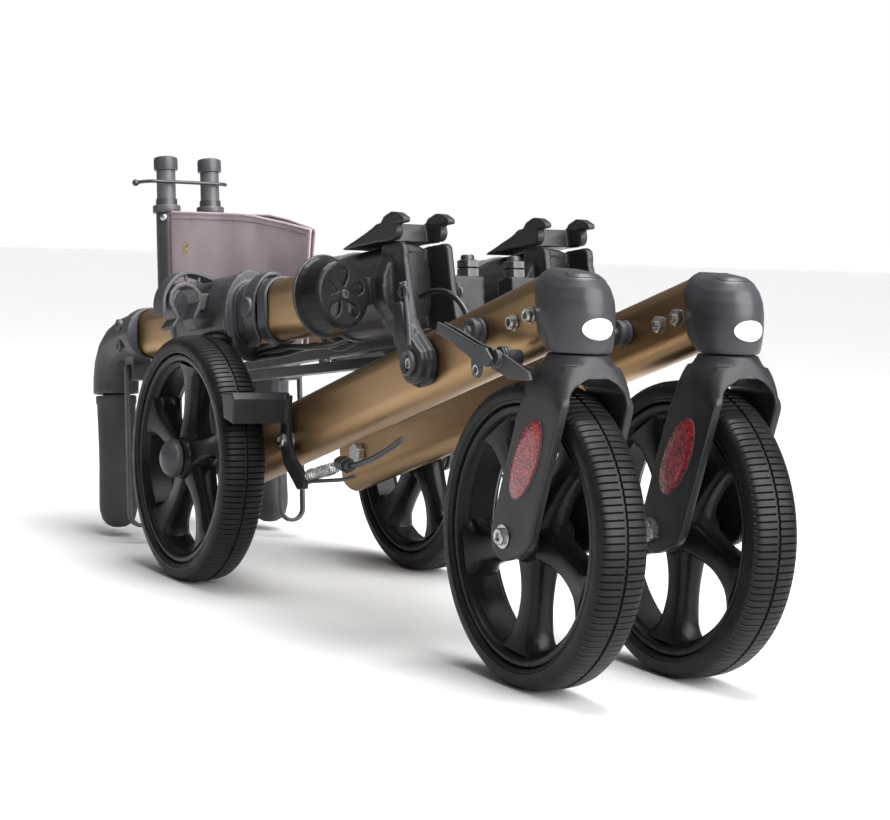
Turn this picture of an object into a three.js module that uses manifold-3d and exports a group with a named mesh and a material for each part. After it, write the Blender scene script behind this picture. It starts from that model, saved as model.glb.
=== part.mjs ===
// Folding rollator walker, shown fully folded: the two side frames are drawn together by the
// cross brace, and both handle posts are swung back over the rear wheels.
// Millimetres, +Z up. The front of the walker faces -Y and its left side is +X.
//
// Every side piece is drawn once, with +X pointing outboard from the middle plane of its side
// frame, and mirrored for the right side.
import * as THREE from 'three';
import { mergeVertices } from 'three/addons/utils/BufferGeometryUtils.js';
import Module from 'manifold-3d';

const wasm = await Module();
wasm.setup();

// ---------------------------------------------------------------- driving dimensions
const GAP = 0.3; // between pieces that touch
const frameX = 58.5; // middle plane of a side frame, from the centre plane
const originY = 325.45; // from the front axle back to the walker's middle
const originX = 9.15; // the cane cup reaches further out than the left hub cap by twice this

const wheelRadius = 100;
const rimRadius = 85.3; // where the tyre meets the rim
const rimInnerRadius = 75;
const tyreWidth = 36.5;
const wheelSegments = 36;
const hubRadius = 15.5;
const axleRadius = 5;

const stemY = -36.3; // caster stem, ahead of the front axle
const capBottom = 221;
const capTop = 273;
const capRadius = 22.8;
const seamRadius = 20;
const stemRadius = 8;
const forkInner = 21.5;
const forkOuter = 28;

const lowerTube = { width: 28, height: 50, front: -148, back: 372, tilt: 17.7 };
const tubeWall = 2;
const hinge = { y: 133, z: 201.5, radius: 5 };
const stopPin = { along: -76, up: 3.5, radius: 4, bushRadius: 9, bushEnd: 23.5 };
const rearAxle = { y: 452, z: 100, radius: 6, wheelX: 47.9 };

const openAngle = 83; // swing of the post from folded to upright
const postTilt = 7.7; // the folded post falls this much towards the handle
const postSplay = 1.8; // and leans outboard by this much
const postAxis = 56.5; // above the hinge, square to the post
const postTube = { width: 30, height: 50, front: 41, back: 330 };
const handleTube = { width: 24, height: 41, front: 120, back: 514 };
const sleeveRadius = 32;
const cheek = { inner: 15.3, outer: 28 };
const gripAt = 582; // along the post, from the hinge
const gripEnd = -117;

const strutPivot = { x: 19.5, along: 31 };
const rail = { x: 22.2, along: 581.6, radius: 10, front: 229, back: -70 };
const strutLayers = { right: [22, 30], left: [10, 18] };
const strutWidth = 16;

const brakePivot = { y: 344, z: 126 };

// ---------------------------------------------------------------- materials
const material = (color, roughness, metalness) =>
  new THREE.MeshStandardMaterial({ color, roughness, metalness });
const finishes = {
  bronze: () => material(0xa88a63, 0.38, 0.8),
  blackPlastic: () => material(0x232427, 0.62, 0),
  greyPlastic: () => material(0x6d7076, 0.5, 0.1),
  tyre: () => material(0x1b1c1d, 0.85, 0),
  rim: () => material(0x2a2b2e, 0.55, 0),
  zinc: () => material(0xb9babb, 0.35, 0.9),
  blackSteel: () => material(0x17181a, 0.45, 0.6),
  reflector: () => material(0xa31621, 0.25, 0),
  grip: () => material(0x4c4e52, 0.8, 0),
  fabric: () => material(0x8a8088, 0.75, 0),
  cable: () => material(0x0e0f10, 0.5, 0),
};

// ---------------------------------------------------------------- solids and booleans
function signedVolume(geometry) {
  const p = geometry.getAttribute('position');
  const index = geometry.getIndex();
  const [a, b, c] = [new THREE.Vector3(), new THREE.Vector3(), new THREE.Vector3()];
  let sum = 0;
  for (let i = 0; i < index.count; i += 3) {
    a.fromBufferAttribute(p, index.getX(i));
    b.fromBufferAttribute(p, index.getX(i + 1));
    c.fromBufferAttribute(p, index.getX(i + 2));
    sum += a.dot(b.cross(c));
  }
  return sum / 6;
}

// One closed mesh with shared corners and its faces pointing out.
function closed(geometry) {
  const bare = new THREE.BufferGeometry();
  bare.setAttribute('position', geometry.getAttribute('position').clone());
  if (geometry.getIndex()) bare.setIndex(geometry.getIndex().clone());
  const merged = mergeVertices(bare, 1e-3);
  const old = merged.getIndex().array;
  const kept = [];
  const outward = signedVolume(merged) > 0;
  for (let i = 0; i < old.length; i += 3) {
    const [a, b, c] = [old[i], old[i + 1], old[i + 2]];
    if (a === b || b === c || c === a) continue;
    kept.push(a, outward ? b : c, outward ? c : b);
  }
  merged.setIndex(kept);
  return merged;
}

function toSolid(geometry) {
  const g = closed(geometry);
  const vertProperties = new Float32Array(g.getAttribute('position').array);
  const triVerts = new Uint32Array(g.getIndex().array);
  return new wasm.Manifold(new wasm.Mesh({ numProp: 3, vertProperties, triVerts }));
}

function toGeometry(solid) {
  const mesh = solid.simplify(0.01).getMesh();
  const g = new THREE.BufferGeometry();
  g.setAttribute('position', new THREE.BufferAttribute(mesh.vertProperties, 3));
  g.setIndex(new THREE.BufferAttribute(mesh.triVerts, 1));
  return g;
}

function join(...geometries) {
  return toGeometry(geometries.map(toSolid).reduce((a, b) => a.add(b)));
}

function cut(geometry, ...tools) {
  return toGeometry(tools.map(toSolid).reduce((a, b) => a.subtract(b), toSolid(geometry)));
}

// ---------------------------------------------------------------- shape helpers
const rad = THREE.MathUtils.degToRad;

// A shape drawn in (y, z), extruded along X from x0 to x1.
function across(shape, x0, x1, curveSegments = 4) {
  const g = new THREE.ExtrudeGeometry(shape, { depth: x1 - x0, bevelEnabled: false, curveSegments });
  const basis = new THREE.Matrix4().makeBasis(
    new THREE.Vector3(0, 1, 0),
    new THREE.Vector3(0, 0, 1),
    new THREE.Vector3(1, 0, 0),
  );
  return g.applyMatrix4(basis).translate(x0, 0, 0);
}

// A shape drawn in (x, z), extruded along Y from y0 to y1.
function along(shape, y0, y1, curveSegments = 4) {
  const g = new THREE.ExtrudeGeometry(shape, { depth: y1 - y0, bevelEnabled: false, curveSegments });
  return g.rotateX(Math.PI / 2).translate(0, y1, 0);
}

// A shape drawn in (x, y), extruded along Z from z0 to z1.
function upright(shape, z0, z1, curveSegments = 4) {
  const g = new THREE.ExtrudeGeometry(shape, { depth: z1 - z0, bevelEnabled: false, curveSegments });
  return g.translate(0, 0, z0);
}

const rodX = (radius, x0, x1, y = 0, z = 0, sides = 12) =>
  new THREE.CylinderGeometry(radius, radius, x1 - x0, sides).rotateZ(Math.PI / 2).translate((x0 + x1) / 2, y, z);
const rodY = (radius, y0, y1, x = 0, z = 0, sides = 12) =>
  new THREE.CylinderGeometry(radius, radius, y1 - y0, sides).translate(x, (y0 + y1) / 2, z);
const rodZ = (radius, z0, z1, x = 0, y = 0, sides = 12) =>
  new THREE.CylinderGeometry(radius, radius, z1 - z0, sides).rotateX(Math.PI / 2).translate(x, y, (z0 + z1) / 2);
const block = (x0, x1, y0, y1, z0, z1) =>
  new THREE.BoxGeometry(x1 - x0, y1 - y0, z1 - z0).translate((x0 + x1) / 2, (y0 + y1) / 2, (z0 + z1) / 2);

// A profile of [radius, height] pairs turned about Z, or about X.
const profile = (pairs) => pairs.map(([r, h]) => new THREE.Vector2(r, h));
const turnedZ = (pairs, sides = 24) => new THREE.LatheGeometry(profile(pairs), sides).rotateX(Math.PI / 2);
const turnedX = (pairs, sides = 24) => new THREE.LatheGeometry(profile(pairs), sides).rotateZ(-Math.PI / 2);

function polygon(points) {
  const shape = new THREE.Shape();
  points.forEach(([a, b], i) => (i ? shape.lineTo(a, b) : shape.moveTo(a, b)));
  shape.closePath();
  return shape;
}

// An upright slot shape with round ends: width across, height overall.
function stadium(width, height, target = new THREE.Shape(), centre = 0) {
  const r = width / 2;
  const straight = height / 2 - r;
  target.moveTo(r, centre - straight);
  target.lineTo(r, centre + straight);
  target.absarc(0, centre + straight, r, 0, Math.PI, false);
  target.lineTo(-r, centre - straight);
  target.absarc(0, centre - straight, r, Math.PI, 2 * Math.PI, false);
  return target;
}

function hollowStadium(width, height, wall, centre = 0) {
  const shape = stadium(width, height, new THREE.Shape(), centre);
  shape.holes.push(stadium(width - 2 * wall, height - 2 * wall, new THREE.Path(), centre));
  return shape;
}

// ---------------------------------------------------------------- wheels
// The tread is a ring of flat facets, and one of them lies on the floor.
function tyreGeometry() {
  const w = tyreWidth / 2;
  const inner = rimRadius + GAP;
  const corner = wheelRadius / Math.cos(Math.PI / wheelSegments);
  const section = [
    [inner, -w + 4],
    [inner + 3, -w],
    [wheelRadius - 5, -w],
    [corner, -w + 8],
    [corner, w - 8],
    [wheelRadius - 5, w],
    [inner + 3, w],
    [inner, w - 4],
    [inner, -w + 4],
  ];
  return turnedX(section, wheelSegments).rotateX(Math.PI / wheelSegments);
}

// A straight blade, widest where it runs into the rim.
function spokeShape() {
  const shape = new THREE.Shape();
  const reach = (rimInnerRadius + rimRadius) / 2;
  shape.moveTo(-12, 6);
  shape.quadraticCurveTo(-8, 38, -19, reach - 2);
  shape.lineTo(0, reach);
  shape.lineTo(19, reach - 2);
  shape.quadraticCurveTo(8, 38, 12, 6);
  shape.closePath();
  return shape;
}

function rimGeometry(boreRadius) {
  const half = tyreWidth / 2 - 4;
  const ring = turnedX(
    [
      [rimInnerRadius, -half],
      [rimRadius, -half],
      [rimRadius, half],
      [rimInnerRadius, half],
      [rimInnerRadius, -half],
    ],
    wheelSegments,
  );
  const hub = rodX(hubRadius, -17, 17, 0, 0, 20);
  const spokes = [];
  for (let i = 0; i < 5; i++) {
    spokes.push(across(spokeShape(), -7, 7).rotateX((i * 2 * Math.PI) / 5));
  }
  const bore = rodX(boreRadius + GAP, -20, 20);
  return cut(join(ring, hub, ...spokes), bore).rotateX(Math.PI / wheelSegments);
}

function frontAxleGeometry() {
  const head = rodX(8, forkOuter + GAP, forkOuter + 5, 0, 0, 20);
  const socket = rodX(3.6, forkOuter + 2.4, forkOuter + 6, 0, 0, 6);
  const nut = rodX(8, -forkOuter - 6, -forkOuter - GAP, 0, 0, 6);
  const shank = rodX(axleRadius, -forkOuter - 1, forkOuter + 1);
  return cut(join(shank, head, nut), socket);
}

// Through the lower tube, from its head on the inboard side to the wheel's hub cap.
function rearAxleGeometry() {
  const inboard = -lowerTube.width / 2;
  const shank = rodX(rearAxle.radius, inboard - 2, rearAxle.wheelX + 18);
  const head = rodX(10, inboard - 6, inboard - GAP, 0, 0, 6);
  const shoulder = rodX(10, lowerTube.width / 2 + GAP, rearAxle.wheelX - 17.5, 0, 0, 20);
  return join(shank, head, shoulder);
}

function hubCapGeometry() {
  return turnedX(
    [
      [0, 19],
      [hubRadius, 19],
      [hubRadius, 22],
      [13.5, 26],
      [8, 29],
      [0, 30],
    ],
    24,
  );
}

// ---------------------------------------------------------------- caster
function capGeometry() {
  const dome = turnedZ([
    [0, capBottom],
    [seamRadius, capBottom],
    [21.6, capBottom + 6],
    [capRadius, capBottom + 15],
    [capRadius, capBottom + 26],
    [20.9, capBottom + 37],
    [16.8, capBottom + 45],
    [10, capBottom + 50.5],
    [0, capTop],
  ]).translate(0, stemY, 0);
  // The dome runs back into a short sleeve that covers the tube's end.
  const sleeveEnd = -143;
  const sleeve = tubeFrame(along(stadium(34, 55), lowerTube.front - 16, sleeveEnd));
  const shoulder = new THREE.SphereGeometry(1, 20, 12)
    .scale(18.5, 24, 27)
    .translate(0, stemY + 10, capBottom + 26);
  const behindTube = tubeFrame(along(stadium(60, 90), sleeveEnd, sleeveEnd + 60));
  const socket = tubeFrame(
    along(
      stadium(lowerTube.width + 2 * GAP, lowerTube.height + 2 * GAP),
      lowerTube.front - GAP,
      sleeveEnd + 20,
    ),
  );
  const bore = rodZ(stemRadius + GAP, capBottom - 1, capBottom + 24.5, 0, stemY);
  const forkSpace = rodZ(32, capBottom - 30, capBottom, 0, stemY, 24);
  return cut(join(dome, cut(shoulder, behindTube), sleeve), forkSpace, socket, bore);
}

// The arm falls back from the crown to the axle, and its foot is round.
function forkArmShape() {
  const shape = new THREE.Shape();
  const foot = 16;
  shape.moveTo(-14, 199);
  shape.lineTo(-13, 190);
  shape.lineTo(foot, 104);
  shape.absarc(0, 100, foot, 0.25, -Math.PI * 0.6, true);
  shape.lineTo(-24, 92);
  shape.quadraticCurveTo(-34, 98, -35, 110);
  shape.lineTo(-62, 190);
  shape.lineTo(-61, 199);
  shape.closePath();
  return shape;
}

function forkGeometry() {
  const arms = [
    across(forkArmShape(), forkInner, forkOuter),
    across(forkArmShape(), -forkOuter, -forkInner),
  ];
  const crown = polygon([
    [-forkOuter, 186],
    [-forkOuter, 198],
    [-25.5, 206],
    [-20, 213],
    [20, 213],
    [25.5, 206],
    [forkOuter, 198],
    [forkOuter, 186],
    [forkInner, 186],
    [20.5, 195],
    [15.5, 202],
    [8, 205],
    [-8, 205],
    [-15.5, 202],
    [-20.5, 195],
    [-forkInner, 186],
  ]);
  const neck = turnedZ([
    [0, 207],
    [24.5, 207],
    [22.5, 212],
    [20.5, 216.5],
    [seamRadius, 218.5],
    [seamRadius, capBottom - 0.5],
    [0, capBottom - 0.5],
  ]).translate(0, stemY, 0);
  const stem = rodZ(stemRadius, capBottom - 3, capBottom + 24, 0, stemY);
  const fork = join(...arms, along(crown, -60.5, -13.5), neck, stem);
  return cut(fork, rodX(axleRadius + GAP, -40, 40, 0, wheelRadius));
}

// Each fork carries its reflector on the arm that faces the walker's right.
function reflectorGeometry(side) {
  const face = forkOuter + GAP;
  const shape = new THREE.Shape();
  shape.absellipse(-24, 152, 12.5, 28.5, 0, 2 * Math.PI, false, rad(28));
  return side === 'right' ? across(shape, face, face + 2.7, 12) : across(shape, -face - 2.7, -face, 12);
}

// ---------------------------------------------------------------- lower frame
// Turns a geometry from the lower tube's own line (+Y towards the rear) into the side frame.
const tubeFrame = (geometry) =>
  geometry.rotateX(rad(-lowerTube.tilt)).translate(0, hinge.y, hinge.z);

// Turns a geometry from the side frame into the folded post's own lines.
const postFrame = (geometry) =>
  geometry.translate(0, -hinge.y, -hinge.z).rotateX(rad(postTilt)).rotateZ(rad(postSplay));

// The tyre's space in the folded post's lines.
const wheelSpace = () => {
  const inboard = rearAxle.wheelX - tyreWidth / 2 - 1.2;
  return postFrame(rodX(wheelRadius + 2.5, inboard, 80, rearAxle.y, rearAxle.z, 48));
};

// The strut's pivot in the folded post's lines.
const strutPoint = () =>
  new THREE.Vector2(strutPivot.x - frameX, strutPivot.along).rotateAround(
    new THREE.Vector2(),
    rad(postSplay),
  );

function lowerTubeGeometry() {
  const body = along(
    hollowStadium(lowerTube.width, lowerTube.height, tubeWall),
    lowerTube.front,
    lowerTube.back,
  );
  const axleAlong = (rearAxle.y - hinge.y) / Math.cos(rad(lowerTube.tilt));
  const hingeHole = rodX(hinge.radius + GAP, -40, 40);
  const stopHole = rodX(stopPin.radius + GAP, -40, 40, stopPin.along, stopPin.up);
  const axleHole = rodX(rearAxle.radius + GAP, -40, 40, axleAlong, 0.3);
  return cut(body, hingeHole, stopHole, axleHole);
}

function hingePinGeometry() {
  const reach = cheek.outer + 0.6;
  const head = rodX(8.5, reach, reach + 3.5, 0, 0, 20);
  const socket = rodX(3.6, reach + 1.5, reach + 5, 0, 0, 6);
  const nut = rodX(8.5, -reach - 6, -reach, 0, 0, 6);
  return cut(join(rodX(hinge.radius, -reach - 1, reach + 1), head, nut), socket);
}

// The pin's two rubber bushes stop the cheeks of the opened post.
function stopPinGeometry() {
  const inner = lowerTube.width / 2 + GAP;
  const bushes = [
    rodX(stopPin.bushRadius, inner, stopPin.bushEnd, 0, 0, 24),
    rodX(stopPin.bushRadius, -stopPin.bushEnd, -inner, 0, 0, 24),
  ];
  return join(rodX(stopPin.radius, -stopPin.bushEnd - 4, stopPin.bushEnd + 2), ...bushes);
}

// Bent strip on the outboard face of the lower tube: shoe bar above, cable end below.
function brakeArmGeometry() {
  const strip = polygon([
    [338, 161],
    [350, 161],
    [351, 140],
    [352, 122],
    [342, 106],
    [318, 90],
    [306, 92],
    [305, 101],
    [328, 114],
    [337, 128],
    [339, 142],
  ]);
  const shoe = polygon([
    [341, 139],
    [359, 142],
    [361, 150],
    [364, 161],
    [345, 163],
    [340, 158],
  ]);
  const bar = across(shoe, 17, 66);
  const pivotHole = rodX(4.3, 10, 30, brakePivot.y, brakePivot.z);
  return cut(join(across(strip, 17, 21), bar), pivotHole);
}

// Sprung channel lever near the caster, with its fork towards the hinge and a pull tab below.
function lockLeverGeometry() {
  const outer = across(
    polygon([
      [76, 225],
      [74, 231],
      [20, 219],
      [6, 220],
      [2, 213],
      [8, 209],
      [20, 211],
    ]),
    32.8,
    35,
  );
  const second = outer.clone().translate(5, 0, 0);
  const web = across(
    polygon([
      [56, 222.5],
      [56, 226.5],
      [6, 218],
      [6, 213],
    ]),
    33,
    40,
  );
  const tab = across(
    polygon([
      [17, 213],
      [18, 204],
      [22, 202],
      [28, 204],
      [29, 215],
    ]),
    37.8,
    40,
  );
  const boss = rodX(5.5, 15.8, 36, 7, 214.5, 20);
  const hole = rodX(2.4, 30, 44, 23, 207, 12);
  return cut(join(outer, second, web, tab, boss), hole);
}

// ---------------------------------------------------------------- post
// Cheeks straddle the lower tube and carry the hinge pin; the sleeve behind them holds the post.
function housingGeometry() {
  const plateShape = polygon([
    [18, 84],
    [14.5, 60],
    [9, 34],
    [-4, 12],
    [20, 8],
    [48, 30],
    [48, 87],
    [22, 87],
  ]);
  const foot = new THREE.Shape();
  foot.absarc(0, 0, 17, rad(150), rad(345), false);
  foot.lineTo(24, 20);
  foot.lineTo(22, 44);
  foot.lineTo(12, 44);
  foot.lineTo(7, 28);
  foot.closePath();
  const plate = 21;
  const cheeks = [
    across(plateShape, cheek.inner, plate),
    across(plateShape, -plate, -cheek.inner),
    across(foot, cheek.inner, cheek.outer),
    across(foot, -cheek.outer, -cheek.inner),
  ];
  const sleeve = turnedZ([
    [0, 44],
    [sleeveRadius, 44],
    [sleeveRadius, 118],
    [30, 140],
    [32, 144],
    [32, 150],
    [0, 150],
  ]).rotateX(-Math.PI / 2).translate(0, 0, postAxis);
  const shoulders = rodY(30, 32, 46, 0, postAxis, 24);
  const slot = block(-cheek.inner, cheek.inner, 0, 44, -40, 140);
  const socket = along(
    stadium(postTube.width + 2 * GAP, postTube.height + 2 * GAP, new THREE.Shape(), postAxis),
    postTube.front - GAP,
    160,
  );
  const stopSeat = new THREE.Vector2(stopPin.along, stopPin.up).rotateAround(
    new THREE.Vector2(),
    rad(postTilt - lowerTube.tilt - openAngle),
  );
  const notch = rodX(stopPin.bushRadius + 2 * GAP, -40, 40, stopSeat.x, stopSeat.y, 24)
    .rotateZ(rad(postSplay));
  const bolt = strutPoint();
  const lug = block(bolt.x - 8, -cheek.inner - 5, 20, 42, 34, 64);
  const boltHole = rodZ(5.3, 30, 70, bolt.x, bolt.y);
  const pinHole = rodX(hinge.radius + GAP, -40, 40).rotateZ(rad(postSplay));
  return cut(join(...cheeks, sleeve, shoulders, lug), slot, socket, notch, boltHole, pinHole);
}

function postTubeGeometry() {
  return along(
    hollowStadium(postTube.width, postTube.height, tubeWall, postAxis),
    postTube.front,
    postTube.back,
  );
}

// Twin hooks joined by a web, with a tail that runs down onto the sleeve.
function clawGeometry() {
  const hook = new THREE.Shape();
  hook.moveTo(15, 100);
  hook.lineTo(15, 103.5);
  hook.lineTo(24, 108);
  hook.lineTo(33, 109.5);
  hook.lineTo(43, 107);
  hook.lineTo(50, 101);
  hook.lineTo(54, 89.5);
  hook.lineTo(36, 88.8);
  hook.absarc(32, 95.5, 6.5, -Math.PI * 0.35, Math.PI * 0.75, true);
  hook.closePath();
  const web = polygon([
    [42.5, 89.5],
    [44, 98],
    [46, 103],
    [54, 103],
    [66, 99],
    [104, 90.5],
    [104, 89.2],
  ]);
  const hookInner = 15.4;
  return join(
    across(hook, hookInner, 21.5),
    across(hook, -21.5, -hookInner),
    across(web, -21.5, 21.5),
  );
}

// Pivot bolt of the cross brace, square to the post, with its stack of nuts on top.
function strutPivotGeometry() {
  const { x, y } = strutPoint();
  return join(
    rodZ(5, 7, 80, x, y),
    rodZ(7.4, 64 + GAP, 70, x, y, 20),
    rodZ(7, 69, 76, x, y, 6),
    rodZ(8, 4, 9, x, y, 6),
  );
}

function collarGeometry() {
  const body = new THREE.Shape();
  body.absellipse(0, postAxis, 24, 36, 0, 2 * Math.PI);
  const rim = new THREE.Shape();
  rim.absellipse(0, postAxis, 25.5, 38, 0, 2 * Math.PI);
  const wide = along(
    stadium(postTube.width + 2 * GAP, postTube.height + 2 * GAP, new THREE.Shape(), postAxis),
    280,
    postTube.back + GAP,
  );
  const narrow = along(
    stadium(handleTube.width + 2 * GAP, handleTube.height + 2 * GAP, new THREE.Shape(), postAxis),
    320,
    420,
  );
  const shell = join(along(body, 296, 404, 12), along(rim, 296, 301, 12), along(rim, 396, 404, 12));
  const nose = along(stadium(36, 56, new THREE.Shape(), postAxis), 292, 297);
  return cut(join(shell, nose), wide, narrow, wheelSpace());
}

// Curved quick-release lever that wraps the outboard side of the collar.
function clampLeverGeometry() {
  const band = new THREE.Shape();
  band.absellipse(0, postAxis, 20, 32.5, rad(110), rad(-44), true);
  band.lineTo(17, postAxis - 28);
  band.lineTo(12.5, postAxis - 27);
  band.absellipse(0, postAxis, 17, 29, rad(-46), rad(110), false);
  band.closePath();
  return along(band, 257, 275, 10);
}

function handleTubeGeometry() {
  return along(
    hollowStadium(handleTube.width, handleTube.height, tubeWall, postAxis),
    handleTube.front,
    handleTube.back,
  );
}

function elbowGeometry() {
  const section = new THREE.Shape();
  section.absarc(0, 0, 21, 0, 2 * Math.PI);
  const bend = new THREE.CubicBezierCurve3(
    new THREE.Vector3(0, 505, postAxis),
    new THREE.Vector3(0, 562, postAxis),
    new THREE.Vector3(0, gripAt, 48),
    new THREE.Vector3(0, gripAt, 6),
  );
  const elbow = new THREE.ExtrudeGeometry(section, {
    steps: 8,
    curveSegments: 9,
    extrudePath: bend,
  });
  const flange = rodY(23.5, 499, 514, 0, postAxis, 20);
  const core = rodZ(11, -98, 10, 0, gripAt, 16);
  const lug = block(-9, 9, 520, 540, 16, 44);
  const socket = along(
    stadium(handleTube.width + 2 * GAP, handleTube.height + 2 * GAP, new THREE.Shape(), postAxis),
    490,
    handleTube.back + GAP,
  );
  const leverHole = rodX(3.3, -20, 20, 530, 24);
  return cut(join(elbow, flange, core, lug), socket, leverHole);
}

function gripGeometry() {
  const grip = turnedZ(
    [
      [0, gripEnd],
      [9, gripEnd + 2],
      [15, gripEnd + 8],
      [17.5, gripEnd + 18],
      [16.5, -60],
      [17.5, -8],
      [18.5, 4.5],
      [0, 4.5],
    ],
    20,
  ).translate(0, gripAt, 0);
  return cut(grip, rodZ(11.3, -98.5, 10, 0, gripAt, 16));
}

// Loop lever in front of the grip, on a pin through the elbow's lug.
function brakeLeverGeometry() {
  const outline = new THREE.Shape();
  outline.moveTo(-13, -104);
  outline.absarc(0, -104, 13, Math.PI, 2 * Math.PI, false);
  outline.lineTo(13, 30);
  outline.lineTo(-13, 30);
  outline.closePath();
  const opening = new THREE.Path();
  opening.moveTo(-9.4, -104);
  opening.absarc(0, -104, 9.4, Math.PI, 2 * Math.PI, false);
  opening.lineTo(9.4, 40);
  opening.lineTo(-9.4, 40);
  opening.closePath();
  const loop = cut(
    along(outline, 527, 533),
    along(new THREE.Shape(opening.getPoints(8)), 520, 540),
  );
  return join(loop, rodX(3, -13, 13, 530, 24));
}

// Brake cable where it leaves the post and drops onto the lower tube, in the side frame.
function cableGeometry() {
  const route = new THREE.CatmullRomCurve3([
    new THREE.Vector3(0, 171, 246),
    new THREE.Vector3(-3, 162, 250),
    new THREE.Vector3(-7, 150, 251),
    new THREE.Vector3(-9.5, 137, 247),
    new THREE.Vector3(-11, 126, 239),
    new THREE.Vector3(-11, 119, 230.5),
  ]);
  const section = new THREE.Shape();
  section.absarc(0, 0, 2.2, 0, 2 * Math.PI);
  return new THREE.ExtrudeGeometry(section, { steps: 8, curveSegments: 4, extrudePath: route });
}

// ---------------------------------------------------------------- cane holder, right side
const cane = { cupX: 62, cupZ: 50, cupTilt: 12, clipX: 41, clipZ: 71.5 };

function caneCupGeometry() {
  const floor = 34;
  const middle = 46;
  // The cup's mouth leans outboard, away from the post.
  const tilted = (geometry) =>
    geometry
      .translate(0, -middle, 0)
      .rotateZ(rad(-cane.cupTilt))
      .translate(cane.cupX, middle, cane.cupZ);
  const cup = turnedZ([
    [0, floor],
    [22, floor],
    [24.5, floor + 2],
    [26.5, floor + 16],
    [29, floor + 19],
    [29, floor + 21],
    [25.5, floor + 21],
    [23.5, floor + 16],
    [22, floor + 4],
    [0, floor + 4],
  ]).rotateX(-Math.PI / 2);
  const petal = new THREE.Shape();
  petal.moveTo(0, 5);
  petal.quadraticCurveTo(6, 13, 4, 16);
  petal.absarc(0, 15, 4, 0.25, Math.PI - 0.25, false);
  petal.quadraticCurveTo(-6, 13, 0, 5);
  const petals = [];
  for (let i = 0; i < 5; i++) {
    petals.push(along(petal, floor - 5, floor + 10, 2).rotateY((i * 2 * Math.PI) / 5));
  }
  const bracket = block(31.6, 42, 42, 58, cane.cupZ - 6, cane.cupZ + 14);
  const hollow = tilted(rodY(22, floor + 4, 80, 0, 0, 24));
  const sleeve = rodY(sleeveRadius + GAP, 10, 90, 0, postAxis, 32);
  return cut(join(tilted(cut(cup, ...petals)), cut(bracket, hollow)), sleeve);
}

// Open spring clip for the cane's shaft; its mouth faces the user when the post is up.
function caneClipGeometry() {
  const { clipX: x, clipZ: z } = cane;
  const band = new THREE.Shape();
  band.absarc(x, z, 15.5, rad(-40), rad(220), false);
  band.lineTo(x - 9, z - 15);
  band.lineTo(x - 14, z - 22);
  band.lineTo(x - 11, z - 24);
  band.lineTo(x - 5.5, z - 15);
  band.absarc(x, z, 11.5, rad(218), rad(-38), true);
  band.lineTo(x + 5.5, z - 15);
  band.lineTo(x + 11, z - 24);
  band.lineTo(x + 14, z - 22);
  band.lineTo(x + 9, z - 15);
  band.closePath();
  const base = block(18, x - 13, 335, 357, z - 8, z + 6);
  const collar = new THREE.Shape();
  collar.absellipse(0, postAxis, 24 + GAP, 36 + GAP, 0, 2 * Math.PI);
  return cut(join(along(band, 335, 357), base), along(collar, 330, 360, 12), wheelSpace());
}

// ---------------------------------------------------------------- cross brace and seat
// Drawn with +Y along the folded posts and the hinge line at y = 0, z = 0.
function strutGeometry(layer) {
  const [z0, z1] = layer;
  const start = new THREE.Vector2(-strutPivot.x, strutPivot.along);
  const end = new THREE.Vector2(rail.x, rail.along);
  const length = start.distanceTo(end);
  const half = strutWidth / 2;
  const bar = new THREE.Shape();
  bar.absarc(0, 0, half, Math.PI, 2 * Math.PI, false);
  bar.lineTo(half, length - rail.radius - GAP);
  bar.lineTo(-half, length - rail.radius - GAP);
  bar.closePath();
  const pivotHole = rodZ(5.3, z0 - 5, z1 + 5);
  const crossHole = rodZ(5.1, z0 - 5, z1 + 5, 0, length / 2);
  const holes = layer === strutLayers.right ? [pivotHole, crossHole] : [pivotHole];
  const lean = Math.atan2(start.x - end.x, end.y - start.y);
  return cut(upright(bar, z0, z1), ...holes)
    .rotateZ(lean)
    .translate(start.x, start.y, 0);
}

// Tube rail with a cap on its front end.
function railGeometry() {
  return turnedZ(
    [
      [0, rail.back],
      [8, rail.back],
      [rail.radius, rail.back + 2],
      [rail.radius, rail.front - 10],
      [rail.radius + 1.2, rail.front - 9],
      [rail.radius + 1.2, rail.front - 2],
      [rail.radius - 0.5, rail.front],
      [0, rail.front],
    ],
    20,
  ).translate(rail.x, rail.along, 0);
}

// One half of the seat cloth, folded flat between the rails: rail edge, hems and middle fold.
function seatPanelGeometry() {
  const depth = 252;
  const start = rail.along - rail.radius - 2;
  const outline = polygon([
    [start, 34],
    [start, 176],
    [start - 180, 150],
    [start - depth, 132],
    [start - depth + 14, 104],
    [start - depth + 6, 34],
  ]);
  const lean = Math.atan2(rail.x - 3, rail.along - start + depth);
  return across(outline, -1, 1)
    .translate(0, -rail.along, 0)
    .rotateZ(-lean)
    .translate(rail.x, rail.along, 0);
}

// The bolt stops just short of the lower strut, so the two struts can cross at any angle.
function crossBoltGeometry() {
  const [, below] = strutLayers.left;
  const [, above] = strutLayers.right;
  const x = (rail.x - strutPivot.x) / 2;
  const y = (rail.along + strutPivot.along) / 2;
  return join(rodZ(4.8, below + GAP, above + 2, x, y), rodZ(8, above + GAP, above + 5, x, y, 6));
}

// ---------------------------------------------------------------- assembly
const walker = new THREE.Group();
walker.position.set(originX, -originY, 0);

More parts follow.
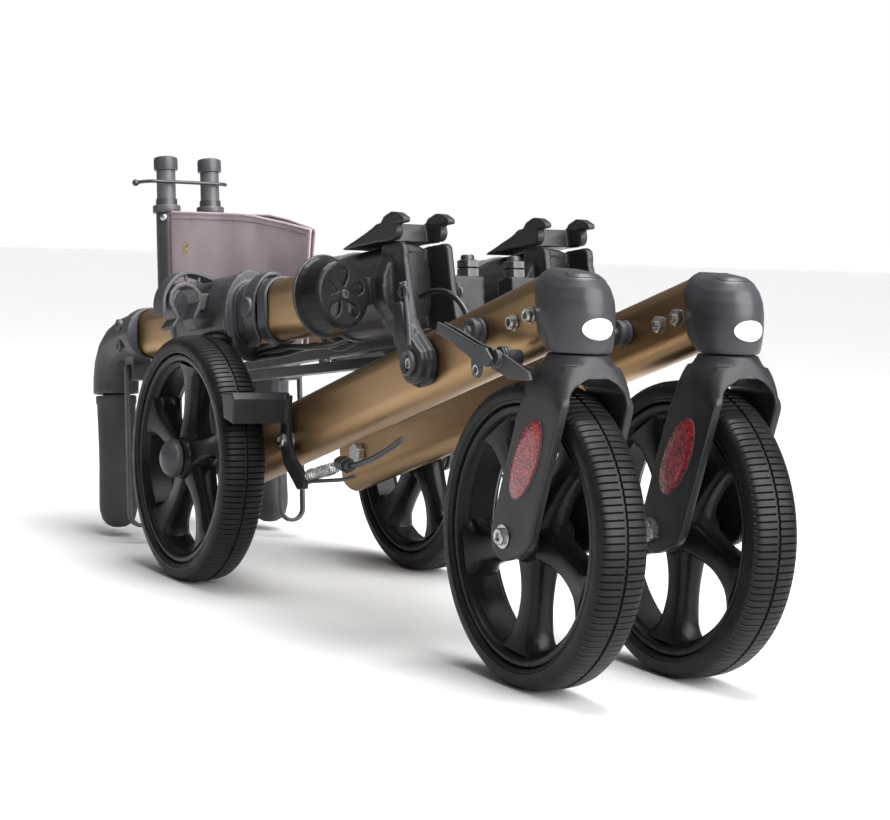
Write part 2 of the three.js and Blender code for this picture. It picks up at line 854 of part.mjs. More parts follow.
function addSide(side) {
  const sign = side === 'left' ? 1 : -1;
  const add = (group, name, geometry, finish) => {
    if (sign < 0) geometry.scale(-1, 1, 1);
    const mesh = new THREE.Mesh(closed(geometry), finishes[finish]());
    mesh.name = `${side}_${name}`;
    group.add(mesh);
    return mesh;
  };
  const child = (parent, x, y, z, rx = 0, rz = 0) => {
    const group = new THREE.Group();
    group.position.set(sign * x, y, z);
    group.rotation.set(rx, 0, sign * rz);
    parent.add(group);
    return group;
  };

  const frame = child(walker, frameX, 0, 0);
  const tube = child(frame, 0, hinge.y, hinge.z, rad(-lowerTube.tilt));
  add(tube, 'lower_tube', lowerTubeGeometry(), 'bronze');
  add(tube, 'stop_pin', stopPinGeometry(), 'blackPlastic').position.set(0, stopPin.along, stopPin.up);
  add(frame, 'caster_cap', capGeometry(), 'blackPlastic');
  add(frame, 'hinge_pin', hingePinGeometry(), 'zinc').position.set(0, hinge.y, hinge.z);
  add(frame, 'rear_axle', rearAxleGeometry(), 'zinc').position.set(0, rearAxle.y, rearAxle.z);
  add(frame, 'brake_arm', brakeArmGeometry(), 'blackSteel');
  add(frame, 'brake_cable', cableGeometry(), 'cable');

  add(frame, 'caster_fork', forkGeometry(), 'blackPlastic');
  add(frame, 'fork_reflector', reflectorGeometry(side), 'reflector');
  const frontWheel = child(frame, 0, 0, wheelRadius);
  add(frontWheel, 'front_axle', frontAxleGeometry(), 'zinc');
  add(frontWheel, 'front_rim', rimGeometry(axleRadius), 'rim');
  add(frontWheel, 'front_tyre', tyreGeometry(), 'tyre');

  const rearWheel = child(frame, rearAxle.wheelX, rearAxle.y, wheelRadius);
  add(rearWheel, 'rear_rim', rimGeometry(rearAxle.radius), 'rim');
  add(rearWheel, 'rear_tyre', tyreGeometry(), 'tyre');
  add(rearWheel, 'rear_hub_cap', hubCapGeometry(), 'blackPlastic');

  const post = child(frame, 0, hinge.y, hinge.z, rad(-postTilt), rad(-postSplay));
  add(post, 'hinge_housing', housingGeometry(), 'blackPlastic');
  add(post, 'strut_pivot', strutPivotGeometry(), 'blackSteel');
  add(post, 'latch_claw', clawGeometry(), 'blackPlastic');
  add(post, 'post_tube', postTubeGeometry(), 'bronze');
  add(post, 'clamp_collar', collarGeometry(), 'blackPlastic');
  add(post, 'clamp_lever', clampLeverGeometry(), 'greyPlastic');
  add(post, 'handle_tube', handleTubeGeometry(), 'bronze');
  add(post, 'handle_elbow', elbowGeometry(), 'greyPlastic');
  add(post, 'grip', gripGeometry(), 'grip');
  add(post, 'brake_lever', brakeLeverGeometry(), 'greyPlastic');

  if (side === 'right') {
    add(frame, 'lock_lever', lockLeverGeometry(), 'greyPlastic');
    add(post, 'cane_cup', caneCupGeometry(), 'blackPlastic');
    add(post, 'cane_clip', caneClipGeometry(), 'greyPlastic');
  }
}

addSide('right');
addSide('left');

// The brace hangs between the posts and folds back with them. Each strut runs from its own
// side's pivot to the rail of the other side.
const brace = new THREE.Group();
brace.position.set(0, hinge.y, hinge.z);
brace.rotation.x = rad(-postTilt);
walker.add(brace);

function addBrace(name, geometry, finish, mirrored) {
  if (mirrored) geometry.scale(-1, 1, 1);
  const mesh = new THREE.Mesh(closed(geometry), finishes[finish]());
  mesh.name = name;
  brace.add(mesh);
}

addBrace('right_cross_strut', strutGeometry(strutLayers.right), 'blackSteel', false);
addBrace('left_cross_strut', strutGeometry(strutLayers.left), 'blackSteel', true);
addBrace('cross_pivot_bolt', crossBoltGeometry(), 'zinc', false);
addBrace('left_seat_rail', railGeometry(), 'blackSteel', false);
addBrace('right_seat_rail', railGeometry(), 'blackSteel', true);
addBrace('left_seat_panel', seatPanelGeometry(), 'fabric', false);
addBrace('right_seat_panel', seatPanelGeometry(), 'fabric', true);

export default walker;
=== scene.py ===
"""Looks of the folded rollator walker. Shapes are drawn in millimetres in the side frame's, the
post's, the lower tube's or the brace's own lines, and mirrored for the right side."""
from math import cos, hypot, pi, radians, sin, sqrt

import bmesh
import bpy
from mathutils import Matrix, Vector
from mathutils.bvhtree import BVHTree


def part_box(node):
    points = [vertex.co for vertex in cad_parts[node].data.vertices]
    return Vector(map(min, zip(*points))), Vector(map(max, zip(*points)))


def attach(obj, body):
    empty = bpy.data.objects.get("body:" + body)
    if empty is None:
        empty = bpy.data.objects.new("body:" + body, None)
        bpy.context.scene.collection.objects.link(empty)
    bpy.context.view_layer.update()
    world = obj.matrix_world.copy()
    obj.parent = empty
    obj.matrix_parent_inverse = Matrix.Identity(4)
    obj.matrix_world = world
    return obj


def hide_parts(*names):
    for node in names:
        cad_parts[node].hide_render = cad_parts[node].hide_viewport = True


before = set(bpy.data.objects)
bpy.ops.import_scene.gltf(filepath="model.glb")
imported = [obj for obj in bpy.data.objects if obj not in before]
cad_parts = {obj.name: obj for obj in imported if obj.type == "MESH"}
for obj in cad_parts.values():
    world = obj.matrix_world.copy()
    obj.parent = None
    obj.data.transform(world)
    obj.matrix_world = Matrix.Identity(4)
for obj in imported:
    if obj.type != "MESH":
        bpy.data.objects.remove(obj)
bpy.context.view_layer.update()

# ---------------------------------------------------------------- driving values
MM = 0.001
SIDES = {"right": -1, "left": 1}
POST_TILT = radians(7.7)  # the folded post falls this much towards the handle
POST_SPLAY = radians(1.8)  # and leans outboard by this much
TUBE_TILT = radians(17.7)
POST_AXIS = 56.5  # above the hinge, square to the post
WHEEL_RADIUS = 100.0
RIM_RADIUS = 85.3
TYRE_WIDTH = 36.5
STEM_Y = -36.3
FORK_OUTER = 28.0
LOWER_TUBE = (28, 50)  # width and height of each oval tube
POST_TUBE = (30, 50)
HANDLE_TUBE = (24, 41)
CAP_BOTTOM = 221.0
CAP_TOP = 273.0
CAP_RADIUS = 22.3
BADGE_LEVEL = 237
BADGE_HALF = (11.6, 6.8)
RAIL_X = 22.2
RAIL_Y = 581.6
RAIL_FRONT = 229.0


def centre(node):
    low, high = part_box(node)
    return (Vector(low) + Vector(high)) / 2


MID_X = (centre("left_lower_tube").x + centre("right_lower_tube").x) / 2
FRAME_X = (centre("left_lower_tube").x - MID_X) / MM
FRONT_Y = centre("left_front_tyre").y
HINGE = Vector((0, (centre("left_hinge_pin").y - FRONT_Y) / MM, centre("left_hinge_pin").z / MM))
REAR_X = (centre("left_rear_tyre").x - MID_X) / MM - FRAME_X
REAR_Y = (centre("left_rear_tyre").y - FRONT_Y) / MM


# ---------------------------------------------------------------- spaces
def side_space(side):
    """+X outboard from the side frame's middle plane, y = 0 at the front axle, z = 0 on the floor."""
    s = SIDES[side]
    place = Matrix.Translation((MID_X + s * FRAME_X * MM, FRONT_Y, 0))
    return place @ Matrix.Diagonal((s * MM, MM, MM, 1))


def post_space(side):
    turn = Matrix.Rotation(-POST_TILT, 4, "X") @ Matrix.Rotation(-POST_SPLAY, 4, "Z")
    return side_space(side) @ Matrix.Translation(HINGE) @ turn


def tube_space(side):
    return side_space(side) @ Matrix.Translation(HINGE) @ Matrix.Rotation(-TUBE_TILT, 4, "X")


def brace_space(side):
    s = SIDES[side]
    place = Matrix.Translation((MID_X, FRONT_Y, 0)) @ Matrix.Diagonal((s * MM, MM, MM, 1))
    return place @ Matrix.Translation(HINGE) @ Matrix.Rotation(-POST_TILT, 4, "X")


# ---------------------------------------------------------------- materials
class Nodes:
    """A material's node tree, with short calls for the nodes used here."""

    def __init__(self, name, color, roughness, metallic=0.0):
        self.material = bpy.data.materials.new(name)
        self.material.use_nodes = True
        self.tree = self.material.node_tree
        self.shader = self.tree.nodes["Principled BSDF"]
        self.set(self.shader, "Base Color", (*color, 1))
        self.set(self.shader, "Roughness", roughness)
        self.set(self.shader, "Metallic", metallic)
        self.place = self.add("ShaderNodeTexCoord").outputs["Object"]
        self.height = None

    def add(self, kind, **values):
        node = self.tree.nodes.new(kind)
        for key, value in values.items():
            setattr(node, key, value)
        return node

    def set(self, node, socket, value):
        node.inputs[socket].default_value = value

    def link(self, a, b):
        self.tree.links.new(a, b)

    def noise(self, scale, detail=4.0, stretch=(1, 1, 1)):
        mapping = self.add("ShaderNodeMapping")
        self.set(mapping, "Scale", stretch)
        self.link(self.place, mapping.inputs["Vector"])
        node = self.add("ShaderNodeTexNoise")
        self.set(node, "Scale", scale)
        self.set(node, "Detail", detail)
        self.link(mapping.outputs["Vector"], node.inputs["Vector"])
        return node.outputs["Fac"]

    def voronoi(self, scale, output="Distance"):
        node = self.add("ShaderNodeTexVoronoi")
        self.set(node, "Scale", scale)
        self.link(self.place, node.inputs["Vector"])
        return node.outputs[output]

    def ramp(self, value, low, high, from_value=0.3, to_value=0.7):
        node = self.add("ShaderNodeMapRange")
        self.set(node, "From Min", from_value)
        self.set(node, "From Max", to_value)
        self.set(node, "To Min", low)
        self.set(node, "To Max", high)
        self.link(value, node.inputs["Value"])
        return node.outputs["Result"]

    def colors(self, value, low, high, from_value=0.3, to_value=0.7):
        node = self.add("ShaderNodeValToRGB")
        node.color_ramp.elements[0].position = from_value
        node.color_ramp.elements[0].color = (*low, 1)
        node.color_ramp.elements[1].position = to_value
        node.color_ramp.elements[1].color = (*high, 1)
        self.link(value, node.inputs["Fac"])
        return node.outputs["Color"]

    def rubbed_and_highlit_edges(self, color, edge, low=0.53, high=0.6):
        """Lightens convex edges: partly wear where handling rubs the surface, partly a painted highlight
        where a rounded edge would catch the light.
        """
        pointiness = self.add("ShaderNodeNewGeometry").outputs["Pointiness"]
        mix = self.add("ShaderNodeMix", data_type="RGBA")
        self.link(self.ramp(pointiness, 0.0, 1.0, low, high), mix.inputs["Factor"])
        self.link(color, mix.inputs["A"])
        mix.inputs["B"].default_value = (*edge, 1)
        return mix.outputs["Result"]

    def bump(self, value, strength, distance):
        node = self.add("ShaderNodeBump")
        self.set(node, "Strength", strength)
        self.set(node, "Distance", distance)
        self.link(value, node.inputs["Height"])
        if self.height is not None:
            self.link(self.height, node.inputs["Normal"])
        self.height = node.outputs["Normal"]
        self.link(self.height, self.shader.inputs["Normal"])

    def color(self, value):
        self.link(value, self.shader.inputs["Base Color"])

    def rough(self, value):
        self.link(value, self.shader.inputs["Roughness"])


def bronze_material():
    """Satin champagne bronze, blasted before anodising."""
    n = Nodes("bronze", (0.32, 0.2, 0.094), 0.36, 1.0)
    n.color(n.colors(n.noise(9, 3), (0.295, 0.182, 0.085), (0.36, 0.228, 0.11)))
    n.rough(n.ramp(n.noise(60, 5, (1, 0.15, 1)), 0.33, 0.43))
    n.bump(n.noise(2600, 2), 0.10, 0.0002)
    n.set(n.shader, "Coat Weight", 0.12)
    n.set(n.shader, "Coat Roughness", 0.35)
    return n.material


def plastic_material(name, color, roughness, grain=1500, strength=0.16, shine=0.4):
    """Glass filled nylon, with a fine moulded grain and lighter edges, partly slightly rubbed and partly a
    painted edge highlight.
    """
    n = Nodes(name, color, roughness)
    lighter = tuple(c * 1.5 + 0.004 for c in color)
    tone = n.colors(n.noise(22, 4), tuple(c * 0.85 for c in color), lighter)
    # Lighter convex edges: part rubbed wear, part painted edge highlight.
    n.color(n.rubbed_and_highlit_edges(tone, tuple(c * 2.0 + 0.012 for c in color)))
    n.rough(n.ramp(n.noise(45, 5), roughness - 0.05, roughness + 0.07))
    n.bump(n.voronoi(grain), strength, 0.00012)
    n.set(n.shader, "Specular IOR Level", shine)
    n.bump(n.noise(260, 3), 0.05, 0.0002)
    return n.material


def tyre_material():
    n = Nodes("tyre", (0.006, 0.006, 0.0068), 0.4)
    n.color(n.colors(n.noise(40, 5), (0.0045, 0.0045, 0.005), (0.009, 0.009, 0.0095)))
    n.rough(n.ramp(n.noise(90, 4), 0.34, 0.48))
    n.bump(n.noise(900, 3), 0.12, 0.0002)
    n.set(n.shader, "Specular IOR Level", 0.17)
    return n.material


def metal_material(name, color, roughness, metallic=1.0):
    n = Nodes(name, color, roughness, metallic)
    n.color(n.colors(n.noise(120, 4), tuple(c * 0.8 for c in color), tuple(min(1, c * 1.12) for c in color)))
    n.rough(n.ramp(n.noise(300, 4, (1, 1, 4)), roughness - 0.07, roughness + 0.1))
    n.bump(n.noise(1800, 2), 0.06, 0.0001)
    return n.material


def powder_material():
    """Black powder coat: a fine orange peel, lighter on the sharpest edges, partly rubbed to bare steel and
    partly a painted edge highlight.
    """
    n = Nodes("black_steel", (0.014, 0.014, 0.015), 0.4)
    tone = n.colors(n.noise(30, 4), (0.010, 0.010, 0.011), (0.022, 0.022, 0.023))
    # Lighter sharp edges: part rubbed to bare steel, part painted edge highlight.
    n.color(n.rubbed_and_highlit_edges(tone, (0.12, 0.12, 0.12), 0.58, 0.68))
    n.rough(n.ramp(n.noise(60, 4), 0.34, 0.46))
    n.bump(n.noise(700, 2), 0.14, 0.0002)
    return n.material


def reflector_material():
    """Red prisms behind a clear face: tilted facets in a fine honeycomb."""
    n = Nodes("reflector", (0.5, 0.012, 0.02), 0.12)
    cell = n.voronoi(620, output="Color")
    n.color(n.colors(cell, (0.09, 0.004, 0.008), (0.34, 0.022, 0.03), 0.2, 0.85))
    n.bump(n.voronoi(620), 0.6, 0.0005)
    n.set(n.shader, "Coat Weight", 0.35)
    n.set(n.shader, "Coat Roughness", 0.04)
    return n.material


def fabric_material():
    """Mauve grey coated cloth with a pebbled grain and soft creases."""
    n = Nodes("seat_cloth", (0.36, 0.285, 0.322), 0.55)
    n.color(n.colors(n.noise(14, 6), (0.30, 0.236, 0.268), (0.43, 0.344, 0.386)))
    n.rough(n.ramp(n.noise(60, 4), 0.52, 0.7))
    n.bump(n.voronoi(1100), 0.35, 0.0003)
    n.bump(n.noise(25, 4), 0.25, 0.003)
    n.set(n.shader, "Sheen Weight", 0.15)
    n.set(n.shader, "Sheen Roughness", 0.5)
    return n.material


def thread_material():
    n = Nodes("thread", (0.16, 0.13, 0.14), 0.8)
    n.bump(n.noise(3000, 2), 0.4, 0.0002)
    return n.material


def cable_material():
    n = Nodes("cable", (0.010, 0.010, 0.011), 0.38)
    n.rough(n.ramp(n.noise(150, 3), 0.3, 0.46))
    n.bump(n.noise(900, 2), 0.08, 0.0001)
    return n.material


def badge_material():
    n = Nodes("badge", (0.66, 0.67, 0.69), 0.35, 0.1)
    n.rough(n.ramp(n.noise(200, 3), 0.22, 0.34))
    n.bump(n.noise(1400, 2), 0.03, 0.0001)
    return n.material


FINISH = {
    "bronze": (bronze_material(), "bronze"),
    "plastic": (
        plastic_material("black_plastic", (0.028, 0.028, 0.032), 0.33, shine=0.25),
        "black_plastic",
    ),
    "black": (
        plastic_material("black_nylon", (0.014, 0.014, 0.0157), 0.34, strength=0.14, shine=0.22),
        "black_plastic",
    ),
    "grey": (plastic_material("grey_plastic", (0.026, 0.027, 0.03), 0.42), "grey_plastic"),
    "rim": (plastic_material("rim", (0.005, 0.005, 0.0056), 0.26, 1100, 0.1, 0.13), "rim"),
    "grip": (plastic_material("grip", (0.02, 0.021, 0.023), 0.55, 900, 0.3), "grip"),
    "tyre": (tyre_material(), "tyre"),
    "zinc": (metal_material("zinc", (0.42, 0.42, 0.41), 0.3), "zinc"),
    "brass": (metal_material("brass", (0.75, 0.55, 0.22), 0.24), "zinc"),
    "powder": (powder_material(), "black_steel"),
    "reflector": (reflector_material(), "reflector"),
    "fabric": (fabric_material(), "fabric"),
    "thread": (thread_material(), "fabric"),
    "cable": (cable_material(), "cable"),
    "badge": (badge_material(), "zinc"),
}


# ---------------------------------------------------------------- mesh helpers
def skin(rings, closed=False):
    """A tube through rings of equal length; its ends are capped, or joined if closed."""
    bm = bmesh.new()
    rows = [[bm.verts.new(p) for p in ring] for ring in rings]
    count = len(rows[0])
    last = len(rows) if closed else len(rows) - 1
    for i in range(last):
        a, b = rows[i], rows[(i + 1) % len(rows)]
        for j in range(count):
            k = (j + 1) % count
            bm.faces.new((a[j], a[k], b[k], b[j]))
    if not closed:
        bm.faces.new(list(reversed(rows[0])))
        bm.faces.new(rows[-1])
    bmesh.ops.recalc_face_normals(bm, faces=bm.faces)
    return bm


def lathe(profile, axis="Z", steps=48, hexes=()):
    """Turns [radius, height] pairs about an axis. Indices in hexes are six-sided instead of round."""
    rings = []
    for step in range(steps):
        angle = 2 * pi * step / steps
        ring = []
        for index, (radius, height) in enumerate(profile):
            r = max(radius, 0.01)
            if index in hexes:
                r /= cos((angle + pi / 6) % (pi / 3) - pi / 6)
            a, b = r * cos(angle), r * sin(angle)
            ring.append({"X": (height, a, b), "Y": (a, height, b), "Z": (a, b, height)}[axis])
        rings.append(ring)
    bm = bmesh.new()
    rows = [[bm.verts.new(p) for p in ring] for ring in rings]
    for i in range(steps):
        a, b = rows[i], rows[(i + 1) % steps]
        for j in range(len(profile) - 1):
            bm.faces.new((a[j], a[j + 1], b[j + 1], b[j]))
    bmesh.ops.remove_doubles(bm, verts=bm.verts, dist=0.02)
    bmesh.ops.holes_fill(bm, edges=[e for e in bm.edges if e.is_boundary])
    bmesh.ops.recalc_face_normals(bm, faces=bm.faces)
    return bm


def prism(outline, low, high, axis="X"):
    """An outline drawn across an axis, extruded along it."""
    place = {
        "X": lambda a, b, h: (h, a, b),
        "Y": lambda a, b, h: (a, h, b),
        "Z": lambda a, b, h: (a, b, h),
    }[axis]
    return skin([[place(a, b, h) for a, b in outline] for h in (low, high)])


def arc(cx, cz, radius, start, end, steps):
    """Points on an arc in degrees."""
    points = []
    for i in range(steps + 1):
        angle = radians(start + (end - start) * i / steps)
        points.append((cx + radius * cos(angle), cz + radius * sin(angle)))
    return points


def stadium(width, height, centre_height=0.0, steps=14):
    r = width / 2
    straight = height / 2 - r
    top = arc(0, centre_height + straight, r, 0, 180, steps)
    return top + arc(0, centre_height - straight, r, 180, 360, steps)


def smooth_path(points, per=8):
    """A Catmull-Rom curve through the points."""
    points = [Vector(p) for p in points]
    points = [2 * points[0] - points[1]] + points + [2 * points[-1] - points[-2]]
    out = []
    for i in range(1, len(points) - 2):
        a, b, c, d = points[i - 1 : i + 3]
        for k in range(per):
            t = k / per
            square = 2 * a - 5 * b + 4 * c - d
            cube = 3 * b - a - 3 * c + d
            out.append(0.5 * (2 * b + (c - a) * t + square * t * t + cube * t**3))
    out.append(points[-2])
    return out


def sweep(path, radius, sides=10):
    """A round rod along a path, with one frame carried along it."""
    path = [Vector(p) for p in path]
    rings = []
    across = None
    for i, p in enumerate(path):
        ahead = path[min(i + 1, len(path) - 1)] - path[max(i - 1, 0)]
        ahead.normalize()
        if across is None:
            across = ahead.orthogonal().normalized()
        across = (across - ahead * across.dot(ahead)).normalized()
        other = ahead.cross(across)
        ring = []
        for k in range(sides):
            angle = 2 * pi * k / sides
            ring.append(p + across * radius * cos(angle) + other * radius * sin(angle))
        rings.append(ring)
    return skin(rings)


def helix(start, end, radius, turns, per_turn=14):
    """Points of a coil spring between two points."""
    start, end = Vector(start), Vector(end)
    along = (end - start).normalized()
    across = along.orthogonal().normalized()
    other = along.cross(across)
    count = int(turns * per_turn)
    points = []
    for i in range(count + 1):
        angle = 2 * pi * i / per_turn
        points.append(start.lerp(end, i / count) + across * radius * cos(angle) + other * radius * sin(angle))
    return points


def merged(*parts):
    """One bmesh from several."""
    bm = bmesh.new()
    for part in parts:
        mesh = bpy.data.meshes.new("part")
        part.to_mesh(mesh)
        bm.from_mesh(mesh)
        bpy.data.meshes.remove(mesh)
        part.free()
    return bm


def moved(bm, matrix):
    bm.transform(matrix)
    return bm


def placed(bm, space):
    """Takes a bmesh out of one of the spaces above, and keeps its faces outward if it is mirrored."""
    bm.transform(space)
    if space.determinant() < 0:
        bmesh.ops.reverse_faces(bm, faces=bm.faces)
    return bm


def settle(obj, finish, body, nodes):
    material, slot = FINISH[finish]
    obj.data.materials.clear()
    obj.data.materials.append(material)
    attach(obj, body)
    if nodes:
        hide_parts(*nodes)
    return obj


def piece(name, bm, space, finish, body, nodes=(), bevel=0.0, sharp=35):
    """A finished object from a bmesh drawn in one of the spaces above."""
    placed(bm, space)
    mesh = bpy.data.meshes.new(name)
    bm.to_mesh(mesh)
    bm.free()
    mesh.shade_smooth()
    mesh.set_sharp_from_angle(angle=radians(sharp))
    obj = bpy.data.objects.new(name, mesh)
    bpy.context.scene.collection.objects.link(obj)
    if bevel:
        add_bevel(obj, bevel)
    return settle(obj, finish, body, nodes)


def add_bevel(obj, width, segments=3):
    modifier = obj.modifiers.new("edges", "BEVEL")
    modifier.width = width * MM
    modifier.segments = segments
    modifier.limit_method = "ANGLE"
    modifier.angle_limit = radians(32)


def moulded(node, finish, body, voxel=1.1, passes=6, extra=(), space=None, shape=None):
    """A moulding: the node's own solid, with its corners flowed together as in a die."""
    solid = bmesh.new()
    solid.from_mesh(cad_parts[node].data)
    solid.transform(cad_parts[node].matrix_world)
    bmesh.ops.remove_doubles(solid, verts=solid.verts, dist=1e-6)
    obj = poured(node + "_moulding", merged(solid, *extra), voxel, passes)
    if shape:
        reshape(obj, space, shape)
    return settle(obj, finish, body, (node,))


def cast(name, parts, space, finish, body, nodes, voxel=1.0, passes=6, shape=None):
    """A moulding poured from several solids drawn in one space, with its corners flowed together."""
    obj = poured(name, placed(merged(*parts), space), voxel, passes)
    if shape:
        reshape(obj, space, shape)
    return settle(obj, finish, body, nodes)


def reshape(obj, space, shape):
    """Moves each vertex to where shape puts it, in the space's own lines."""
    back = space.inverted()
    for vertex in obj.data.vertices:
        vertex.co = space @ shape(back @ vertex.co)


def poured(name, bm, voxel, passes):
    """Remeshes a solid in small voxels and softens it."""
    mesh = bpy.data.meshes.new(name)
    bm.to_mesh(mesh)
    bm.free()
    obj = bpy.data.objects.new(name, mesh)
    bpy.context.scene.collection.objects.link(obj)
    remesh = obj.modifiers.new("flow", "REMESH")
    remesh.mode = "VOXEL"
    remesh.voxel_size = voxel * MM
    remesh.use_smooth_shade = True
    soft = obj.modifiers.new("soften", "SMOOTH")
    soft.factor = 0.5
    soft.iterations = passes
    bpy.context.view_layer.update()
    final = bpy.data.meshes.new_from_object(obj.evaluated_get(bpy.context.evaluated_depsgraph_get()))
    obj.modifiers.clear()
    obj.data = final
    obj.data.shade_smooth()
    return obj


def dressed(node, finish, bevel=0.5):
    """A CAD node that is shown as it is, with broken edges and a real material."""
    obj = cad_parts[node]
    weld = obj.modifiers.new("weld", "WELD")
    weld.merge_threshold = 1e-6
    add_bevel(obj, bevel, 2)
    material = FINISH[finish][0]
    if obj.material_slots:
        for held in obj.material_slots:
            held.material = material
    else:
        obj.data.materials.append(material)


# ---------------------------------------------------------------- wheels
def tread_tyre(name, space, body, node):
    """Solid tyre: smooth walls, and a tread of fine cross cuts either side of a centre groove."""
    ribs = 132
    half = TYRE_WIDTH / 2
    wall = [(-half + 3.8, RIM_RADIUS + 0.1), (-half + 1.6, 85.9), (-half + 0.9, 87.4), (-half + 1.0, 88.0)]
    wall += [(-half + 0.1, 89.0), (-half, 91.5), (-half + 0.3, 94.0), (-half + 1.2, 96.2)]
    wall.append((-half + 2.7, 97.9))
    tread = [(-14.0, 98.8), (-11.0, 99.6), (-6.0, 100.1), (-1.2, 100.2), (-0.8, 98.8)]
    profile = wall + tread + [(-x, r) for x, r in reversed(wall + tread)]
    rings = []
    for rib in range(ribs):
        for part, cut in ((0.0, 0.0), (0.14, 1.3), (0.28, 0.0), (0.64, 0.0)):
            angle = 2 * pi * (rib + part) / ribs
            ring = []
            for x, r in profile:
                radius = r - (cut if 1.0 < abs(x) < 15.9 and r > 97 else 0.0)
                ring.append((x, radius * cos(angle), radius * sin(angle)))
            rings.append(ring)
    piece(name, skin(rings, closed=True), space, "tyre", body, (node,), sharp=24)


def spoke(turn):
    """A straight blade with a crowned face, waisted in the middle and flared into the rim."""
    rings = []
    stations = 16
    root = 13
    reach = RIM_RADIUS - 8.5 - root
    for i in range(stations + 1):
        t = i / stations
        r = root + reach * t
        lean = turn + radians(-4 + 8 * t)
        width = 8.2 + 5.0 * (1 - t) ** 3 + 9.0 * t**3 + 9.0 * max(0.0, (t - 0.8) / 0.2) ** 2
        depth = 12.5 - 3.5 * sin(pi * t) + 1.0 * t
        face = [(-1.0, -0.25), (-0.93, -0.62), (-0.66, -0.93), (-0.3, -1.0)]
        face += [(-a, b) for a, b in reversed(face)]
        outline = face + [(-a, -b) for a, b in face]
        ahead = Vector((0, cos(lean), sin(lean)))
        side = Vector((0, -sin(lean), cos(lean)))
        rings.append([ahead * r + side * a * width + Vector((b * depth, 0, 0)) for a, b in outline])
    return skin(rings)


def wheel_rim(name, space, body, node, phase):
    """A moulded wheel: a dished band, a hub and five spokes."""
    hub = 17.5
    ring = [(RIM_RADIUS, -14.2), (84.2, -15.4), (81.0, -15.4), (79.6, -14.6), (78.4, -12.0), (75.4, -9.5)]
    ring += [(75.4, 9.5), (78.4, 12.0), (79.6, 14.6), (81.0, 15.4), (84.2, 15.4), (RIM_RADIUS, 14.2)]
    rings = []
    steps = 96
    for step in range(steps):
        angle = 2 * pi * step / steps
        rings.append([(x, r * cos(angle), r * sin(angle)) for r, x in ring])
    band = skin(rings, closed=True)
    core = lathe(
        [(6.2, -16.8), (hub - 4.5, -16.8), (hub - 2, -15.6), (hub, -12), (hub + 1.5, 0), (hub, 12)]
        + [(hub - 2, 15.6), (hub - 4.5, 16.8), (6.2, 16.8), (6.2, -16.8)],
        "X",
        48,
    )
    spokes = [spoke(2 * pi * k / 5 + phase) for k in range(5)]
    piece(name, merged(band, core, *spokes), space, "rim", body, (node,), bevel=0.7, sharp=32)


def wheels(side):
    front = side_space(side) @ Matrix.Translation((0, 0, WHEEL_RADIUS))
    rear = side_space(side) @ Matrix.Translation((REAR_X, REAR_Y, WHEEL_RADIUS))
    for place, space in (("front", front), ("rear", rear)):
        body = f"{side}_{place}_wheel"
        tread_tyre(f"{side}_{place}_tread", space, body, f"{side}_{place}_tyre")
        phase = -pi / 2 if place == "front" else pi / 2
        wheel_rim(f"{side}_{place}_spokes", space, body, f"{side}_{place}_rim", phase)
    cap = lathe(
        [(0, 17.3), (15.0, 17.3), (15.6, 18.2), (15.5, 21.0), (14.6, 23.6)]
        + [(12.2, 26.4), (8.2, 28.7), (4, 29.8), (0, 30)],
        "X",
    )
    piece(f"{side}_hub_dome", cap, rear, "plastic", f"{side}_rear_wheel", (f"{side}_rear_hub_cap",), sharp=60)


# ---------------------------------------------------------------- bolts
def socket_bolt(radius, base, height, socket=3.2):
    """A cap head along +X with a hexagonal socket."""
    top = base + height
    floor = top - height * 0.55
    profile = [(0, floor), (socket, floor), (socket, top - 0.4), (socket + 0.5, top)]
    profile += [(radius - 0.9, top), (radius, top - 0.9), (radius, base), (0, base)]
    return lathe(profile, "X", 36, hexes=(1, 2, 3))


def nut(radius, base, height, bolt=3.2):
    """A hexagonal lock nut along +X with the bolt's end in it."""
    top = base + height
    profile = [(0, top + 1.4), (bolt - 0.5, top + 1.4), (bolt, top + 0.9), (bolt, top - 0.3)]
    profile += [(radius - 1.1, top), (radius, top - 0.8), (radius, base), (0, base)]
    return lathe(profile, "X", 36, hexes=(5, 6))


def at(bm, x=0.0, y=0.0, z=0.0, turn=0.0):
    return moved(bm, Matrix.Translation((x, y, z)) @ Matrix.Rotation(turn, 4, "Z"))


def washer(radius, x0, x1, bore=3.0):
    profile = [(bore, x0), (radius - 0.3, x0), (radius, x0 + 0.3)]
    profile += [(radius, x1 - 0.3), (radius - 0.3, x1), (bore, x1)]
    return lathe(profile, "X", 36)


